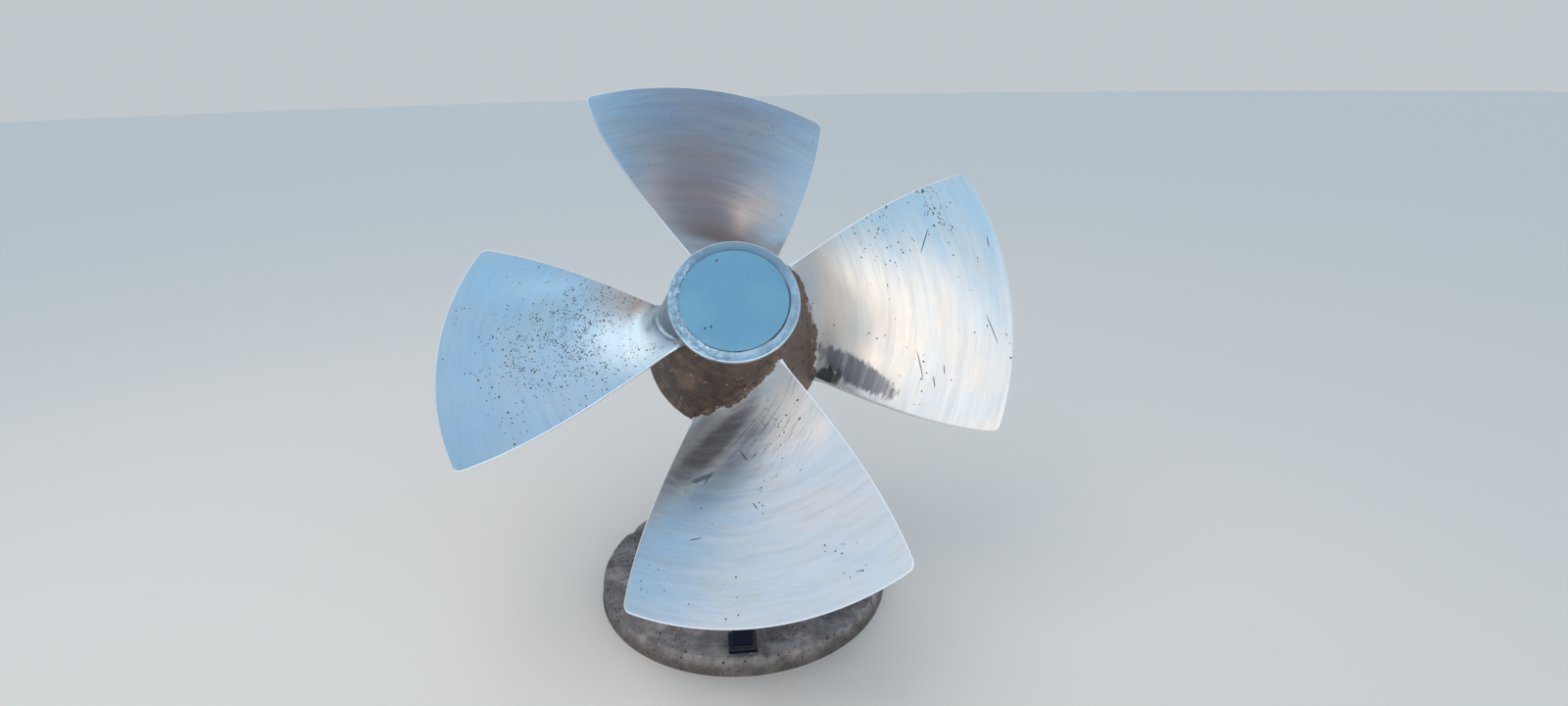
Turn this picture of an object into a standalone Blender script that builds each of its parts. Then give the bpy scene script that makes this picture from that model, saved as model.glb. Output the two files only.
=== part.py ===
"""Four-bladed ship propeller on a steel stand with a round concrete footing.

Metres and radians, +Z up, the front of the propeller towards -Y.
The origin is the centre of the footing's underside.
"""

import math

import bmesh
import bpy
from mathutils import Matrix, Vector

# Fit between pieces that touch
CLEARANCE = 0.0003

# Propeller, in its own frame: the shaft line is Z and the front end is +Z
TIP_RADIUS = 0.700
PITCH = 1.244
BLADE_COUNT = 4
LOWEST_BLADE = 3
BLADE_PHASE = math.radians(3.0)
SHAFT_RISE = math.radians(40.5)
HUB_CENTRE_HEIGHT = 0.814

# Blade outline and thickness
TIP_HALF_ANGLE = math.radians(26.9)
ROOT_HALF_ANGLE = math.radians(32.5)
EDGE_CURVE = 2.7
CORNER_RADIUS = 0.018
EDGE_THICKNESS = 0.008
TIP_THICKNESS = 0.011
ROOT_THICKNESS = 0.050
ROOT_FILLET = 0.020
FILLET_REACH = 0.060
ROOT_WIDENING = 0.006
BLADE_INNER_RADIUS = 0.115

# Hub
HUB_FRONT_RADIUS = 0.147
HUB_BELLY_RADIUS = 0.223
HUB_REAR_RADIUS = 0.205
HUB_FRONT_LENGTH = 0.131
HUB_BELLY_SETBACK = 0.150
HUB_REAR_LENGTH = 0.180
BORE_RADIUS = 0.075

# Front cover and name plate
COVER_RADIUS = 0.1505
COVER_THICKNESS = 0.012
COVER_EDGE = 0.003
PLAQUE_RADIUS = 0.1245
PLAQUE_THICKNESS = 0.002

# Head of the stand
HEAD_PLATE_RADIUS = 0.170
HEAD_PLATE_THICKNESS = 0.020
SPIGOT_WALL = 0.012
SPIGOT_LENGTH = 0.240
HEAD_GUSSET_THICKNESS = 0.012
HEAD_GUSSET_REACH = 0.145
HEAD_GUSSET_NOSE = 0.015
REAR_GUSSET_LEG = 0.060
FRONT_GUSSET_LEG = 0.090

# Post and base
POST_SETBACK = 0.030
POST_SIDE = 0.120
POST_WALL = 0.006
POST_CORNER = 0.010
BASE_PLATE_SIDE = 0.300
BASE_PLATE_THICKNESS = 0.015
BASE_GUSSET_RUN = 0.070
BASE_GUSSET_HEIGHT = 0.120
BASE_GUSSET_THICKNESS = 0.010
BASE_GUSSET_LAND = 0.012
PLATE_EDGE = 0.0015

# Front strut that steadies the lowest blade
STRUT_OFFSET = -0.018
SADDLE_INSET = 0.276
SADDLE_LENGTH = 0.090
SADDLE_WIDTH = 0.100
SADDLE_THICKNESS = 0.010
PAD_THICKNESS = 0.006
STRUT_SIDE = 0.050
STRUT_WALL = 0.003
STRUT_CORNER = 0.005
STRUT_FOOT_SIDE = 0.070
STRUT_FOOT_THICKNESS = 0.010

# Footing
FOOTING_RADIUS = 0.405
FOOTING_TOP_RADIUS = 0.400
FOOTING_HEIGHT = 0.050
FOOTING_EDGE = 0.008

# Fineness of the round and curved shapes
ROUND_STEPS = 72
HUB_REAR_STEPS = 4
CHORD_STEPS = 12
SPAN_STEPS = 13
SPAN_CROWDING = 1.4
CORNER_STEPS = 3
PATCH_STEPS = 6
TRIM_SPREAD = 2
TRIM_REACH = 0.300
PAD_BITE = 0.004
ARC_STEPS = 4

# Values that follow from the ones above
LEAD = PITCH / (2.0 * math.pi)
PLATE_BACK = HUB_REAR_LENGTH + CLEARANCE + HEAD_PLATE_THICKNESS
HUB_CENTRE_Y = POST_SETBACK - PLATE_BACK * math.cos(SHAFT_RISE)
HUB_CENTRE = Vector((0.0, HUB_CENTRE_Y, HUB_CENTRE_HEIGHT))
PLATE_HEIGHT = HUB_CENTRE_HEIGHT - PLATE_BACK * math.sin(SHAFT_RISE)
BASE_BOTTOM = FOOTING_HEIGHT + CLEARANCE
POST_BOTTOM = BASE_BOTTOM + BASE_PLATE_THICKNESS + CLEARANCE
POST_FACE = POST_SIDE / 2.0 + CLEARANCE
SADDLE_RADIUS = TIP_RADIUS - SADDLE_INSET
SADDLE_ANGLE = math.asin(STRUT_OFFSET / SADDLE_RADIUS) - BLADE_PHASE


def clear_scene():
    """Remove every object that the file starts with."""
    for obj in list(bpy.data.objects):
        bpy.data.objects.remove(obj, do_unlink=True)


def make_material(name, colour, metallic, roughness):
    """Make a plain surface with one colour."""
    material = bpy.data.materials.new(name)
    material.use_nodes = True
    shader = material.node_tree.nodes["Principled BSDF"]
    shader.inputs["Base Color"].default_value = (*colour, 1.0)
    shader.inputs["Metallic"].default_value = metallic
    shader.inputs["Roughness"].default_value = roughness
    return material


def make_object(name, bm, material=None):
    """Turn a bmesh into an object with outward faces and smooth round sides."""
    bmesh.ops.recalc_face_normals(bm, faces=bm.faces[:])
    if bm.calc_volume(signed=True) < 0.0:
        bmesh.ops.reverse_faces(bm, faces=bm.faces[:])
    mesh = bpy.data.meshes.new(name)
    bm.to_mesh(mesh)
    bm.free()
    mesh.shade_smooth()
    mesh.set_sharp_from_angle(angle=math.radians(30.0))
    if material:
        mesh.materials.append(material)
    obj = bpy.data.objects.new(name, mesh)
    bpy.context.collection.objects.link(obj)
    return obj


def make_guide(name, bm):
    """Make an object that only shapes others and is no piece itself."""
    guide = make_object(name, bm)
    guide.hide_render = True
    guide.display_type = "WIRE"
    return guide


def add_boolean(obj, guide, operation):
    """Join a guide to an object, or cut the object with it."""
    modifier = obj.modifiers.new(operation.lower(), "BOOLEAN")
    modifier.operation = operation
    modifier.solver = "EXACT"
    modifier.object = guide


def add_bevel(obj, width):
    """Ease the sharp edges of a plate or disc."""
    modifier = obj.modifiers.new("edge", "BEVEL")
    modifier.width = width
    modifier.segments = 2
    modifier.limit_method = "ANGLE"
    modifier.angle_limit = math.radians(40.0)


def make_shaft_frame():
    """Make the empty whose Z is the shaft line and whose origin is the hub's centre."""
    shaft = bpy.data.objects.new("shaft_frame", None)
    bpy.context.collection.objects.link(shaft)
    shaft.location = HUB_CENTRE
    shaft.rotation_euler = (math.pi / 2.0 - SHAFT_RISE, 0.0, 0.0)
    return shaft


def put_on_shaft(obj, shaft, turn=0.0):
    """Place an object in the shaft's frame, turned about the shaft line."""
    obj.parent = shaft
    obj.rotation_euler = (0.0, 0.0, turn)


def shaft_to_world(point, turn):
    """Give the world position of a point in the shaft's frame."""
    tilt = Matrix.Rotation(math.pi / 2.0 - SHAFT_RISE, 3, "X")
    return HUB_CENTRE + tilt @ (Matrix.Rotation(turn, 3, "Z") @ point)


def hub_radius(height):
    """Give the hub's outer radius at a height along the shaft line."""
    if height > -HUB_BELLY_SETBACK:
        share = (HUB_FRONT_LENGTH - height) / (HUB_FRONT_LENGTH + HUB_BELLY_SETBACK)
        return HUB_FRONT_RADIUS + (HUB_BELLY_RADIUS - HUB_FRONT_RADIUS) * max(0.0, share)
    share = (-HUB_BELLY_SETBACK - height) / (HUB_REAR_LENGTH - HUB_BELLY_SETBACK)
    drop = min(1.0, share) ** 2
    return HUB_BELLY_RADIUS + (HUB_REAR_RADIUS - HUB_BELLY_RADIUS) * drop


def half_angle(radius):
    """Give the angle from a blade's middle line to its edge."""
    share = (radius / TIP_RADIUS) ** EDGE_CURVE
    return ROOT_HALF_ANGLE + (TIP_HALF_ANGLE - ROOT_HALF_ANGLE) * share


def root_share(angle, radius):
    """Give 0 out on the blade, rising to 1 where it meets the hub."""
    reach = radius - hub_radius(LEAD * angle)
    return min(1.0, max(0.0, 1.0 - reach / FILLET_REACH)) ** 2


def edge_angle(radius, side):
    """Give the angle of a blade's edge, rounded at the tip and widened at the root."""
    angle = half_angle(radius)
    into_corner = radius - (TIP_RADIUS - CORNER_RADIUS)
    if into_corner > 0.0:
        left = math.sqrt(max(0.0, CORNER_RADIUS ** 2 - into_corner ** 2))
        angle -= (CORNER_RADIUS - left) / radius
    angle += ROOT_WIDENING * root_share(side * angle, radius) / radius
    return side * angle


def blade_thickness(angle, radius):
    """Give a blade's thickness along the shaft line, without the root fillet."""
    chord = min(1.0, abs(angle) / half_angle(radius))
    share = (radius - BLADE_INNER_RADIUS) / (TIP_RADIUS - BLADE_INNER_RADIUS)
    middle = ROOT_THICKNESS + (TIP_THICKNESS - ROOT_THICKNESS) * share
    across = EDGE_THICKNESS + (middle - EDGE_THICKNESS) * (1.0 - chord ** 2)
    return across * math.sqrt(1.0 + (LEAD / radius) ** 2)


def root_flare(angle, radius):
    """Give how far the root fillet stands out of each face of a blade."""
    chord = min(1.0, abs(angle) / half_angle(radius))
    return ROOT_FILLET * root_share(angle, radius) * (1.0 - chord ** 4)


def front_depth(angle, radius):
    """Give the depth of a blade's front face behind the pitch surface."""
    return -root_flare(angle, radius)


def back_depth(angle, radius):
    """Give the depth of a blade's back face behind the pitch surface."""
    return blade_thickness(angle, radius) + root_flare(angle, radius)


def surface_point(angle, radius, depth):
    """Give a point at a depth behind the helicoidal pitch surface."""
    flat = (radius * math.cos(angle), radius * math.sin(angle))
    return Vector((*flat, LEAD * angle - depth))


def surface_slab(columns, radii, angle_at, near, far):
    """Make a closed slab that follows the pitch surface between two depths."""
    bm = bmesh.new()
    rows = len(radii) - 1
    bmesh.ops.create_grid(bm, x_segments=columns, y_segments=rows, size=1.0)
    grown = bmesh.ops.extrude_face_region(bm, geom=bm.faces[:])
    lower = [item for item in grown["geom"] if isinstance(item, bmesh.types.BMVert)]
    bmesh.ops.translate(bm, verts=lower, vec=(0.0, 0.0, -1.0))
    for vert in bm.verts:
        radius = radii[round((vert.co.y + 1.0) / 2.0 * rows)]
        angle = angle_at(vert.co.x, radius)
        depth = far(angle, radius) if vert.co.z < -0.5 else near(angle, radius)
        vert.co = surface_point(angle, radius, depth)
    bmesh.ops.triangulate(bm, faces=bm.faces[:], quad_method="FIXED")
    return bm


def blade_radii():
    """List a blade's stations, crowded at the root and in the rounded corners."""
    start = TIP_RADIUS - CORNER_RADIUS
    radii = []
    for step in range(SPAN_STEPS + 1):
        share = (step / SPAN_STEPS) ** SPAN_CROWDING
        radii.append(BLADE_INNER_RADIUS + (start - BLADE_INNER_RADIUS) * share)
    for step in range(1, CORNER_STEPS + 1):
        turn = step / CORNER_STEPS * math.pi / 2.0
        radii.append(start + CORNER_RADIUS * math.sin(turn))
    return radii


def blade_angle(chord, radius):
    """Give the angle of a point at a share of the chord, from -1 to 1."""
    side = 1.0 if chord >= 0.0 else -1.0
    return abs(chord) * edge_angle(radius, side)


def turned_body(outline):
    """Spin a closed outline of (radius, height) points about Z."""
    bm = bmesh.new()
    verts = [bm.verts.new((radius, 0.0, height)) for radius, height in outline]
    edges = [bm.edges.new((verts[i - 1], verts[i])) for i in range(len(verts))]
    bmesh.ops.spin(
        bm, geom=verts + edges, cent=(0.0, 0.0, 0.0), axis=(0.0, 0.0, 1.0),
        angle=2.0 * math.pi, steps=ROUND_STEPS, use_merge=True,
    )
    return bm


def disc(radius, bottom, thickness, top_radius=None):
    """Make a round plate."""
    bm = bmesh.new()
    bmesh.ops.create_cone(
        bm, cap_ends=True, segments=ROUND_STEPS, radius1=radius,
        radius2=top_radius or radius, depth=thickness,
    )
    middle = bottom + thickness / 2.0
    bmesh.ops.translate(bm, verts=bm.verts[:], vec=(0.0, 0.0, middle))
    return bm


def block(size, centre):
    """Make a box of a size about a centre."""
    bm = bmesh.new()
    bmesh.ops.create_cube(bm, size=1.0)
    bmesh.ops.scale(bm, vec=size, verts=bm.verts[:])
    bmesh.ops.translate(bm, verts=bm.verts[:], vec=centre)
    return bm


def rounded_square(side, corner, height, bm):
    """Add the edges of a square with rounded corners at a height."""
    verts = []
    inner = side / 2.0 - corner
    for quarter in range(4):
        for step in range(ARC_STEPS + 1):
            turn = (quarter + step / ARC_STEPS) * math.pi / 2.0
            sign_x = 1.0 if quarter in (0, 3) else -1.0
            sign_y = 1.0 if quarter in (0, 1) else -1.0
            x = sign_x * inner + corner * math.cos(turn)
            y = sign_y * inner + corner * math.sin(turn)
            verts.append(bm.verts.new((x, y, height)))
    return [bm.edges.new((verts[i - 1], verts[i])) for i in range(len(verts))]


def square_tube(side, wall, corner, bottom, top):
    """Make an upright square tube with open ends."""
    bm = bmesh.new()
    outer = rounded_square(side, corner, bottom, bm)
    inner = rounded_square(side - 2.0 * wall, corner - wall, bottom, bm)
    ring = bmesh.ops.bridge_loops(bm, edges=outer + inner)
    grown = bmesh.ops.extrude_face_region(bm, geom=ring["faces"])
    raised = [item for item in grown["geom"] if isinstance(item, bmesh.types.BMVert)]
    bmesh.ops.translate(bm, verts=raised, vec=(0.0, 0.0, top - bottom))
    return bm


def upright_plate(outline, thickness, turn=0.0):
    """Make a plate in the YZ plane from (y, z) points, turned about Z."""
    bm = bmesh.new()
    verts = [bm.verts.new((-thickness / 2.0, y, z)) for y, z in outline]
    face = bm.faces.new(verts)
    grown = bmesh.ops.extrude_face_region(bm, geom=[face])
    moved = [item for item in grown["geom"] if isinstance(item, bmesh.types.BMVert)]
    bmesh.ops.translate(bm, verts=moved, vec=(thickness, 0.0, 0.0))
    spin = Matrix.Rotation(turn, 3, "Z")
    bmesh.ops.rotate(bm, verts=bm.verts[:], cent=(0.0, 0.0, 0.0), matrix=spin)
    return bm


def at_post(bm):
    """Move a shape made about Z so that it stands about the post."""
    bmesh.ops.translate(bm, verts=bm.verts[:], vec=(0.0, POST_SETBACK, 0.0))
    return bm


def make_casting(shaft, metal):
    """Make the hub and its blades, which are one casting."""
    outline = [(BORE_RADIUS, -HUB_REAR_LENGTH), (BORE_RADIUS, HUB_FRONT_LENGTH)]
    outline.append((HUB_FRONT_RADIUS, HUB_FRONT_LENGTH))
    for step in range(HUB_REAR_STEPS + 1):
        share = step / HUB_REAR_STEPS
        height = -HUB_BELLY_SETBACK - (HUB_REAR_LENGTH - HUB_BELLY_SETBACK) * share
        outline.append((hub_radius(height), height))
    casting = make_object("propeller_casting", turned_body(outline), metal)
    put_on_shaft(casting, shaft, BLADE_PHASE)
    radii = blade_radii()
    for number in range(BLADE_COUNT):
        bm = surface_slab(CHORD_STEPS, radii, blade_angle, front_depth, back_depth)
        blade = make_guide(f"blade_{number + 1}", bm)
        put_on_shaft(blade, shaft, blade_turn(number))
        add_boolean(casting, blade, "UNION")


def blade_turn(number):
    """Give a blade's turn about the shaft line; blade 0 points to the right."""
    return BLADE_PHASE + number * 2.0 * math.pi / BLADE_COUNT


def make_front(shaft, cover_metal, plaque_metal):
    """Make the cover on the hub's front end and the bare name plate on it."""
    bottom = HUB_FRONT_LENGTH + CLEARANCE
    cover = make_object("front_cover", disc(COVER_RADIUS, bottom, COVER_THICKNESS), cover_metal)
    put_on_shaft(cover, shaft)
    add_bevel(cover, COVER_EDGE)
    bottom += COVER_THICKNESS + CLEARANCE
    plaque = make_object("plaque", disc(PLAQUE_RADIUS, bottom, PLAQUE_THICKNESS), plaque_metal)
    put_on_shaft(plaque, shaft)


def make_head(shaft, paint):
    """Make the plate behind the hub and the spigot in its bore."""
    plate = make_object("head_plate", disc(HEAD_PLATE_RADIUS, -PLATE_BACK, HEAD_PLATE_THICKNESS), paint)
    put_on_shaft(plate, shaft)
    add_bevel(plate, PLATE_EDGE)
    outer = BORE_RADIUS - CLEARANCE
    inner = outer - SPIGOT_WALL
    bottom = -HUB_REAR_LENGTH
    top = bottom + SPIGOT_LENGTH
    outline = [(inner, bottom), (inner, top), (outer, top), (outer, bottom)]
    spigot = make_object("hub_spigot", turned_body(outline), paint)
    put_on_shaft(spigot, shaft)


def make_head_guide(shaft):
    """Make the guide that trims the post and gussets to the head plate's back."""
    size = 4.0 * HEAD_PLATE_RADIUS
    middle = -PLATE_BACK - CLEARANCE + size / 2.0
    guide = make_guide("head_trim", block((size, size, size), (0.0, 0.0, middle)))
    put_on_shaft(guide, shaft)
    return guide


def gusset_nose(direction):
    """Give the (y, z) point where a head gusset ends near the plate's rim."""
    along = direction * HEAD_GUSSET_REACH
    y = along * math.sin(SHAFT_RISE) + HEAD_GUSSET_NOSE * math.cos(SHAFT_RISE)
    z = along * math.cos(SHAFT_RISE) - HEAD_GUSSET_NOSE * math.sin(SHAFT_RISE)
    return y, PLATE_HEIGHT + z


def make_head_gussets(guide, paint):
    """Make the upright gussets between the post and the head plate."""
    over = HUB_CENTRE_HEIGHT
    sides = (("rear", 1.0, REAR_GUSSET_LEG), ("front", -1.0, FRONT_GUSSET_LEG))
    for name, direction, leg in sides:
        nose_y, nose_z = gusset_nose(direction)
        face = direction * POST_FACE
        start = PLATE_HEIGHT + face / math.tan(SHAFT_RISE)
        outline = [(face, start - leg), (nose_y, nose_z), (nose_y, over), (face, over)]
        bm = upright_plate(outline, HEAD_GUSSET_THICKNESS)
        gusset = make_object(f"head_gusset_{name}", at_post(bm), paint)
        add_boolean(gusset, guide, "DIFFERENCE")


def make_post(guide, paint):
    """Make the post, mitred under the head plate."""
    bm = square_tube(POST_SIDE, POST_WALL, POST_CORNER, POST_BOTTOM, HUB_CENTRE_HEIGHT)
    post = make_object("main_post", at_post(bm), paint)
    add_boolean(post, guide, "DIFFERENCE")


def make_base(paint):
    """Make the base plate and the gussets that stiffen the post on it."""
    side = BASE_PLATE_SIDE
    middle = BASE_BOTTOM + BASE_PLATE_THICKNESS / 2.0
    bm = block((side, side, BASE_PLATE_THICKNESS), (0.0, 0.0, middle))
    plate = make_object("base_plate", at_post(bm), paint)
    add_bevel(plate, PLATE_EDGE)
    foot = POST_BOTTOM
    land = BASE_GUSSET_LAND
    far = POST_FACE + BASE_GUSSET_RUN
    top = foot + BASE_GUSSET_HEIGHT
    outline = [(POST_FACE, foot), (far, foot), (far, foot + land), (POST_FACE + land, top), (POST_FACE, top)]
    for quarter, name in enumerate(("rear", "left", "front", "right")):
        bm = upright_plate(outline, BASE_GUSSET_THICKNESS, quarter * math.pi / 2.0)
        make_object(f"base_gusset_{name}", at_post(bm), paint)


def make_footing(concrete):
    """Make the round concrete footing."""
    bm = disc(FOOTING_RADIUS, 0.0, FOOTING_HEIGHT, FOOTING_TOP_RADIUS)
    footing = make_object("concrete_footing", bm, concrete)
    rim = bmesh.new()
    rim.from_mesh(footing.data)
    top = [edge for edge in rim.edges if min(v.co.z for v in edge.verts) > FOOTING_HEIGHT - CLEARANCE]
    bmesh.ops.bevel(
        rim, geom=top, offset=FOOTING_EDGE, segments=2, profile=0.5,
        affect="EDGES", offset_type="OFFSET", material=-1,
    )
    rim.to_mesh(footing.data)
    rim.free()


def saddle_patch(spread, near, far):
    """Make a slab under the lowest blade, as large as the saddle times a number."""
    steps = round(PATCH_STEPS * spread)
    reach = SADDLE_LENGTH / 2.0 * spread
    radii = [SADDLE_RADIUS + reach * (2.0 * step / steps - 1.0) for step in range(steps + 1)]

    def angle_at(across, _radius):
        return across * spread * SADDLE_WIDTH / 2.0 / SADDLE_RADIUS + SADDLE_ANGLE

    return surface_slab(steps, radii, angle_at, near, far)


def depth_under_blade(extra):
    """Give a depth function that keeps a distance behind the blade's back."""
    def depth(angle, radius):
        return back_depth(angle, radius) + extra
    return depth


def make_blade_guide(shaft, turn):
    """Make the guide that keeps the pad clear of the lowest blade."""
    far = depth_under_blade(CLEARANCE)
    bm = surface_slab(CHORD_STEPS, blade_radii(), blade_angle, front_depth, far)
    guide = make_guide("pad_trim", bm)
    put_on_shaft(guide, shaft, turn)
    return guide


def make_cradle(shaft, turn, paint, rubber):
    """Make the rubber pad under the lowest blade and the saddle that carries it."""
    bite = -PAD_BITE
    pad_back = CLEARANCE + PAD_THICKNESS
    bm = saddle_patch(1, depth_under_blade(bite), depth_under_blade(pad_back))
    pad = make_object("saddle_pad", bm, rubber)
    put_on_shaft(pad, shaft, turn)
    add_boolean(pad, make_blade_guide(shaft, turn), "DIFFERENCE")
    saddle_front = pad_back + CLEARANCE
    saddle_back = saddle_front + SADDLE_THICKNESS
    bm = saddle_patch(1, depth_under_blade(saddle_front), depth_under_blade(saddle_back))
    put_on_shaft(make_object("strut_saddle", bm, paint), shaft, turn)
    return saddle_back + CLEARANCE


def make_strut(shaft, paint, rubber):
    """Make the strut from the footing's front edge to the cradle under the lowest blade."""
    turn = blade_turn(LOWEST_BLADE)
    level = make_cradle(shaft, turn, paint, rubber)
    above = depth_under_blade(level - TRIM_REACH)
    below = depth_under_blade(level)
    guide = make_guide("strut_trim", saddle_patch(TRIM_SPREAD, above, below))
    put_on_shaft(guide, shaft, turn)
    centre = surface_point(SADDLE_ANGLE, SADDLE_RADIUS, below(SADDLE_ANGLE, SADDLE_RADIUS))
    seat = shaft_to_world(centre, turn)
    foot_bottom = FOOTING_HEIGHT + CLEARANCE
    foot_middle = foot_bottom + STRUT_FOOT_THICKNESS / 2.0
    size = (STRUT_FOOT_SIDE, STRUT_FOOT_SIDE, STRUT_FOOT_THICKNESS)
    foot = make_object("strut_foot", block(size, (seat.x, seat.y, foot_middle)), paint)
    add_bevel(foot, PLATE_EDGE)
    bottom = foot_bottom + STRUT_FOOT_THICKNESS + CLEARANCE
    top = seat.z + STRUT_SIDE
    bm = square_tube(STRUT_SIDE, STRUT_WALL, STRUT_CORNER, bottom, top)
    bmesh.ops.translate(bm, verts=bm.verts[:], vec=(seat.x, seat.y, 0.0))
    strut = make_object("front_strut", bm, paint)
    add_boolean(strut, guide, "DIFFERENCE")


def main():
    """Build the propeller and its stand."""
    clear_scene()
    blade_metal = make_material("ground_steel", (0.70, 0.73, 0.76), 1.0, 0.32)
    cover_metal = make_material("cover_steel", (0.66, 0.70, 0.75), 1.0, 0.30)
    plaque_metal = make_material("plaque_sheet", (0.70, 0.80, 0.86), 1.0, 0.25)
    paint = make_material("stand_paint", (0.020, 0.024, 0.045), 0.0, 0.45)
    rubber = make_material("pad_rubber", (0.020, 0.020, 0.020), 0.0, 0.80)
    concrete = make_material("footing_concrete", (0.33, 0.31, 0.29), 0.0, 0.90)
    shaft = make_shaft_frame()
    make_casting(shaft, blade_metal)
    make_front(shaft, cover_metal, plaque_metal)
    make_head(shaft, paint)
    guide = make_head_guide(shaft)
    make_post(guide, paint)
    make_head_gussets(guide, paint)
    make_base(paint)
    make_strut(shaft, paint, rubber)
    make_footing(concrete)


main()
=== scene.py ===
"""Ship propeller on its stand: ground blades, rough hub, painted steel and concrete.

Metres and radians, +Z up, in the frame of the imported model.
The shaft's own frame has its origin at the hub's centre and +Z along the shaft to the front.
"""

import math

import bmesh
import bpy
from bpy.props import FloatProperty, FloatVectorProperty, IntProperty, PointerProperty
from mathutils import Matrix, Vector, noise


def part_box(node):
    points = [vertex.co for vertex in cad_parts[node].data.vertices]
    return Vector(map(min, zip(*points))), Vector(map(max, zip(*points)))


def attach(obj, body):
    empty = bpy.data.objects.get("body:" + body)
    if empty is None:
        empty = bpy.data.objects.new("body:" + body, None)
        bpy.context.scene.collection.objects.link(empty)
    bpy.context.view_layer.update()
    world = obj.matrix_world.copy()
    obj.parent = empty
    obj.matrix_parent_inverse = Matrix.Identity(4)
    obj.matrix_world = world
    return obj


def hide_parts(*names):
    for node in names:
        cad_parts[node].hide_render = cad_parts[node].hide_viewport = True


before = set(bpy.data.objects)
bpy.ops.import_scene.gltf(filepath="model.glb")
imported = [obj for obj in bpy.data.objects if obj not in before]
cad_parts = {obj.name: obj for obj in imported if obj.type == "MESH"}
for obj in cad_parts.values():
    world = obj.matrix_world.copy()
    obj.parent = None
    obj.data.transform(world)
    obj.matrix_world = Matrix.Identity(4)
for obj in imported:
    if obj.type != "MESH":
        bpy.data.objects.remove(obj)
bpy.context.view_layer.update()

bl_info = {
    "name": "Ship Propeller Finish",
    "version": (1, 0, 0),
    "blender": (4, 5, 0),
    "location": "3D View > Sidebar > Propeller",
    "description": "Finishes a ship propeller and the stand that carries it",
    "category": "Add Mesh",
}

BODY = "root"
UP = Vector((0.0, 0.0, 1.0))
FULL_TURN = 2.0 * math.pi
QUARTER_TURN = math.pi / 2.0


def box_middle(node):
    """Give the middle of a CAD node's box."""
    low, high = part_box(node)
    return (low + high) / 2.0


def box_size(node):
    """Give the size of a CAD node's box."""
    low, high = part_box(node)
    return high - low


# Fit between pieces that touch
CLEARANCE = 0.0003
# Points nearer than this are one
MERGE_DISTANCE = 1e-6

# Hub, cover, plaque and head plate, which lie along the shaft line
HUB_FRONT_LENGTH = 0.131
HUB_REAR_LENGTH = 0.180
COVER_THICKNESS = 0.012
PLAQUE_THICKNESS = 0.002
HEAD_PLATE_THICKNESS = 0.020
SHAFT_AXIS = (box_middle("front_cover") - box_middle("head_plate")).normalized()
HUB_CENTRE = box_middle("front_cover") - SHAFT_AXIS * (
    HUB_FRONT_LENGTH + CLEARANCE + COVER_THICKNESS / 2.0
)
SHAFT_TILT = math.acos(SHAFT_AXIS.z)
SHAFT = Matrix.Translation(HUB_CENTRE) @ Matrix.Rotation(SHAFT_TILT, 4, "X")

# Camera, fitted to the photograph: 18 mm lens on a 36 mm frame of 1600 by 720, turned in degrees
CAMERA_PLACE = Vector((-0.0390, -1.9395, 1.4006))
CAMERA_TURN = (69.91, 1.07, -5.38)
CAMERA_LENS_MM = 18.0
CAMERA_SENSOR_MM = 36.0


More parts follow.
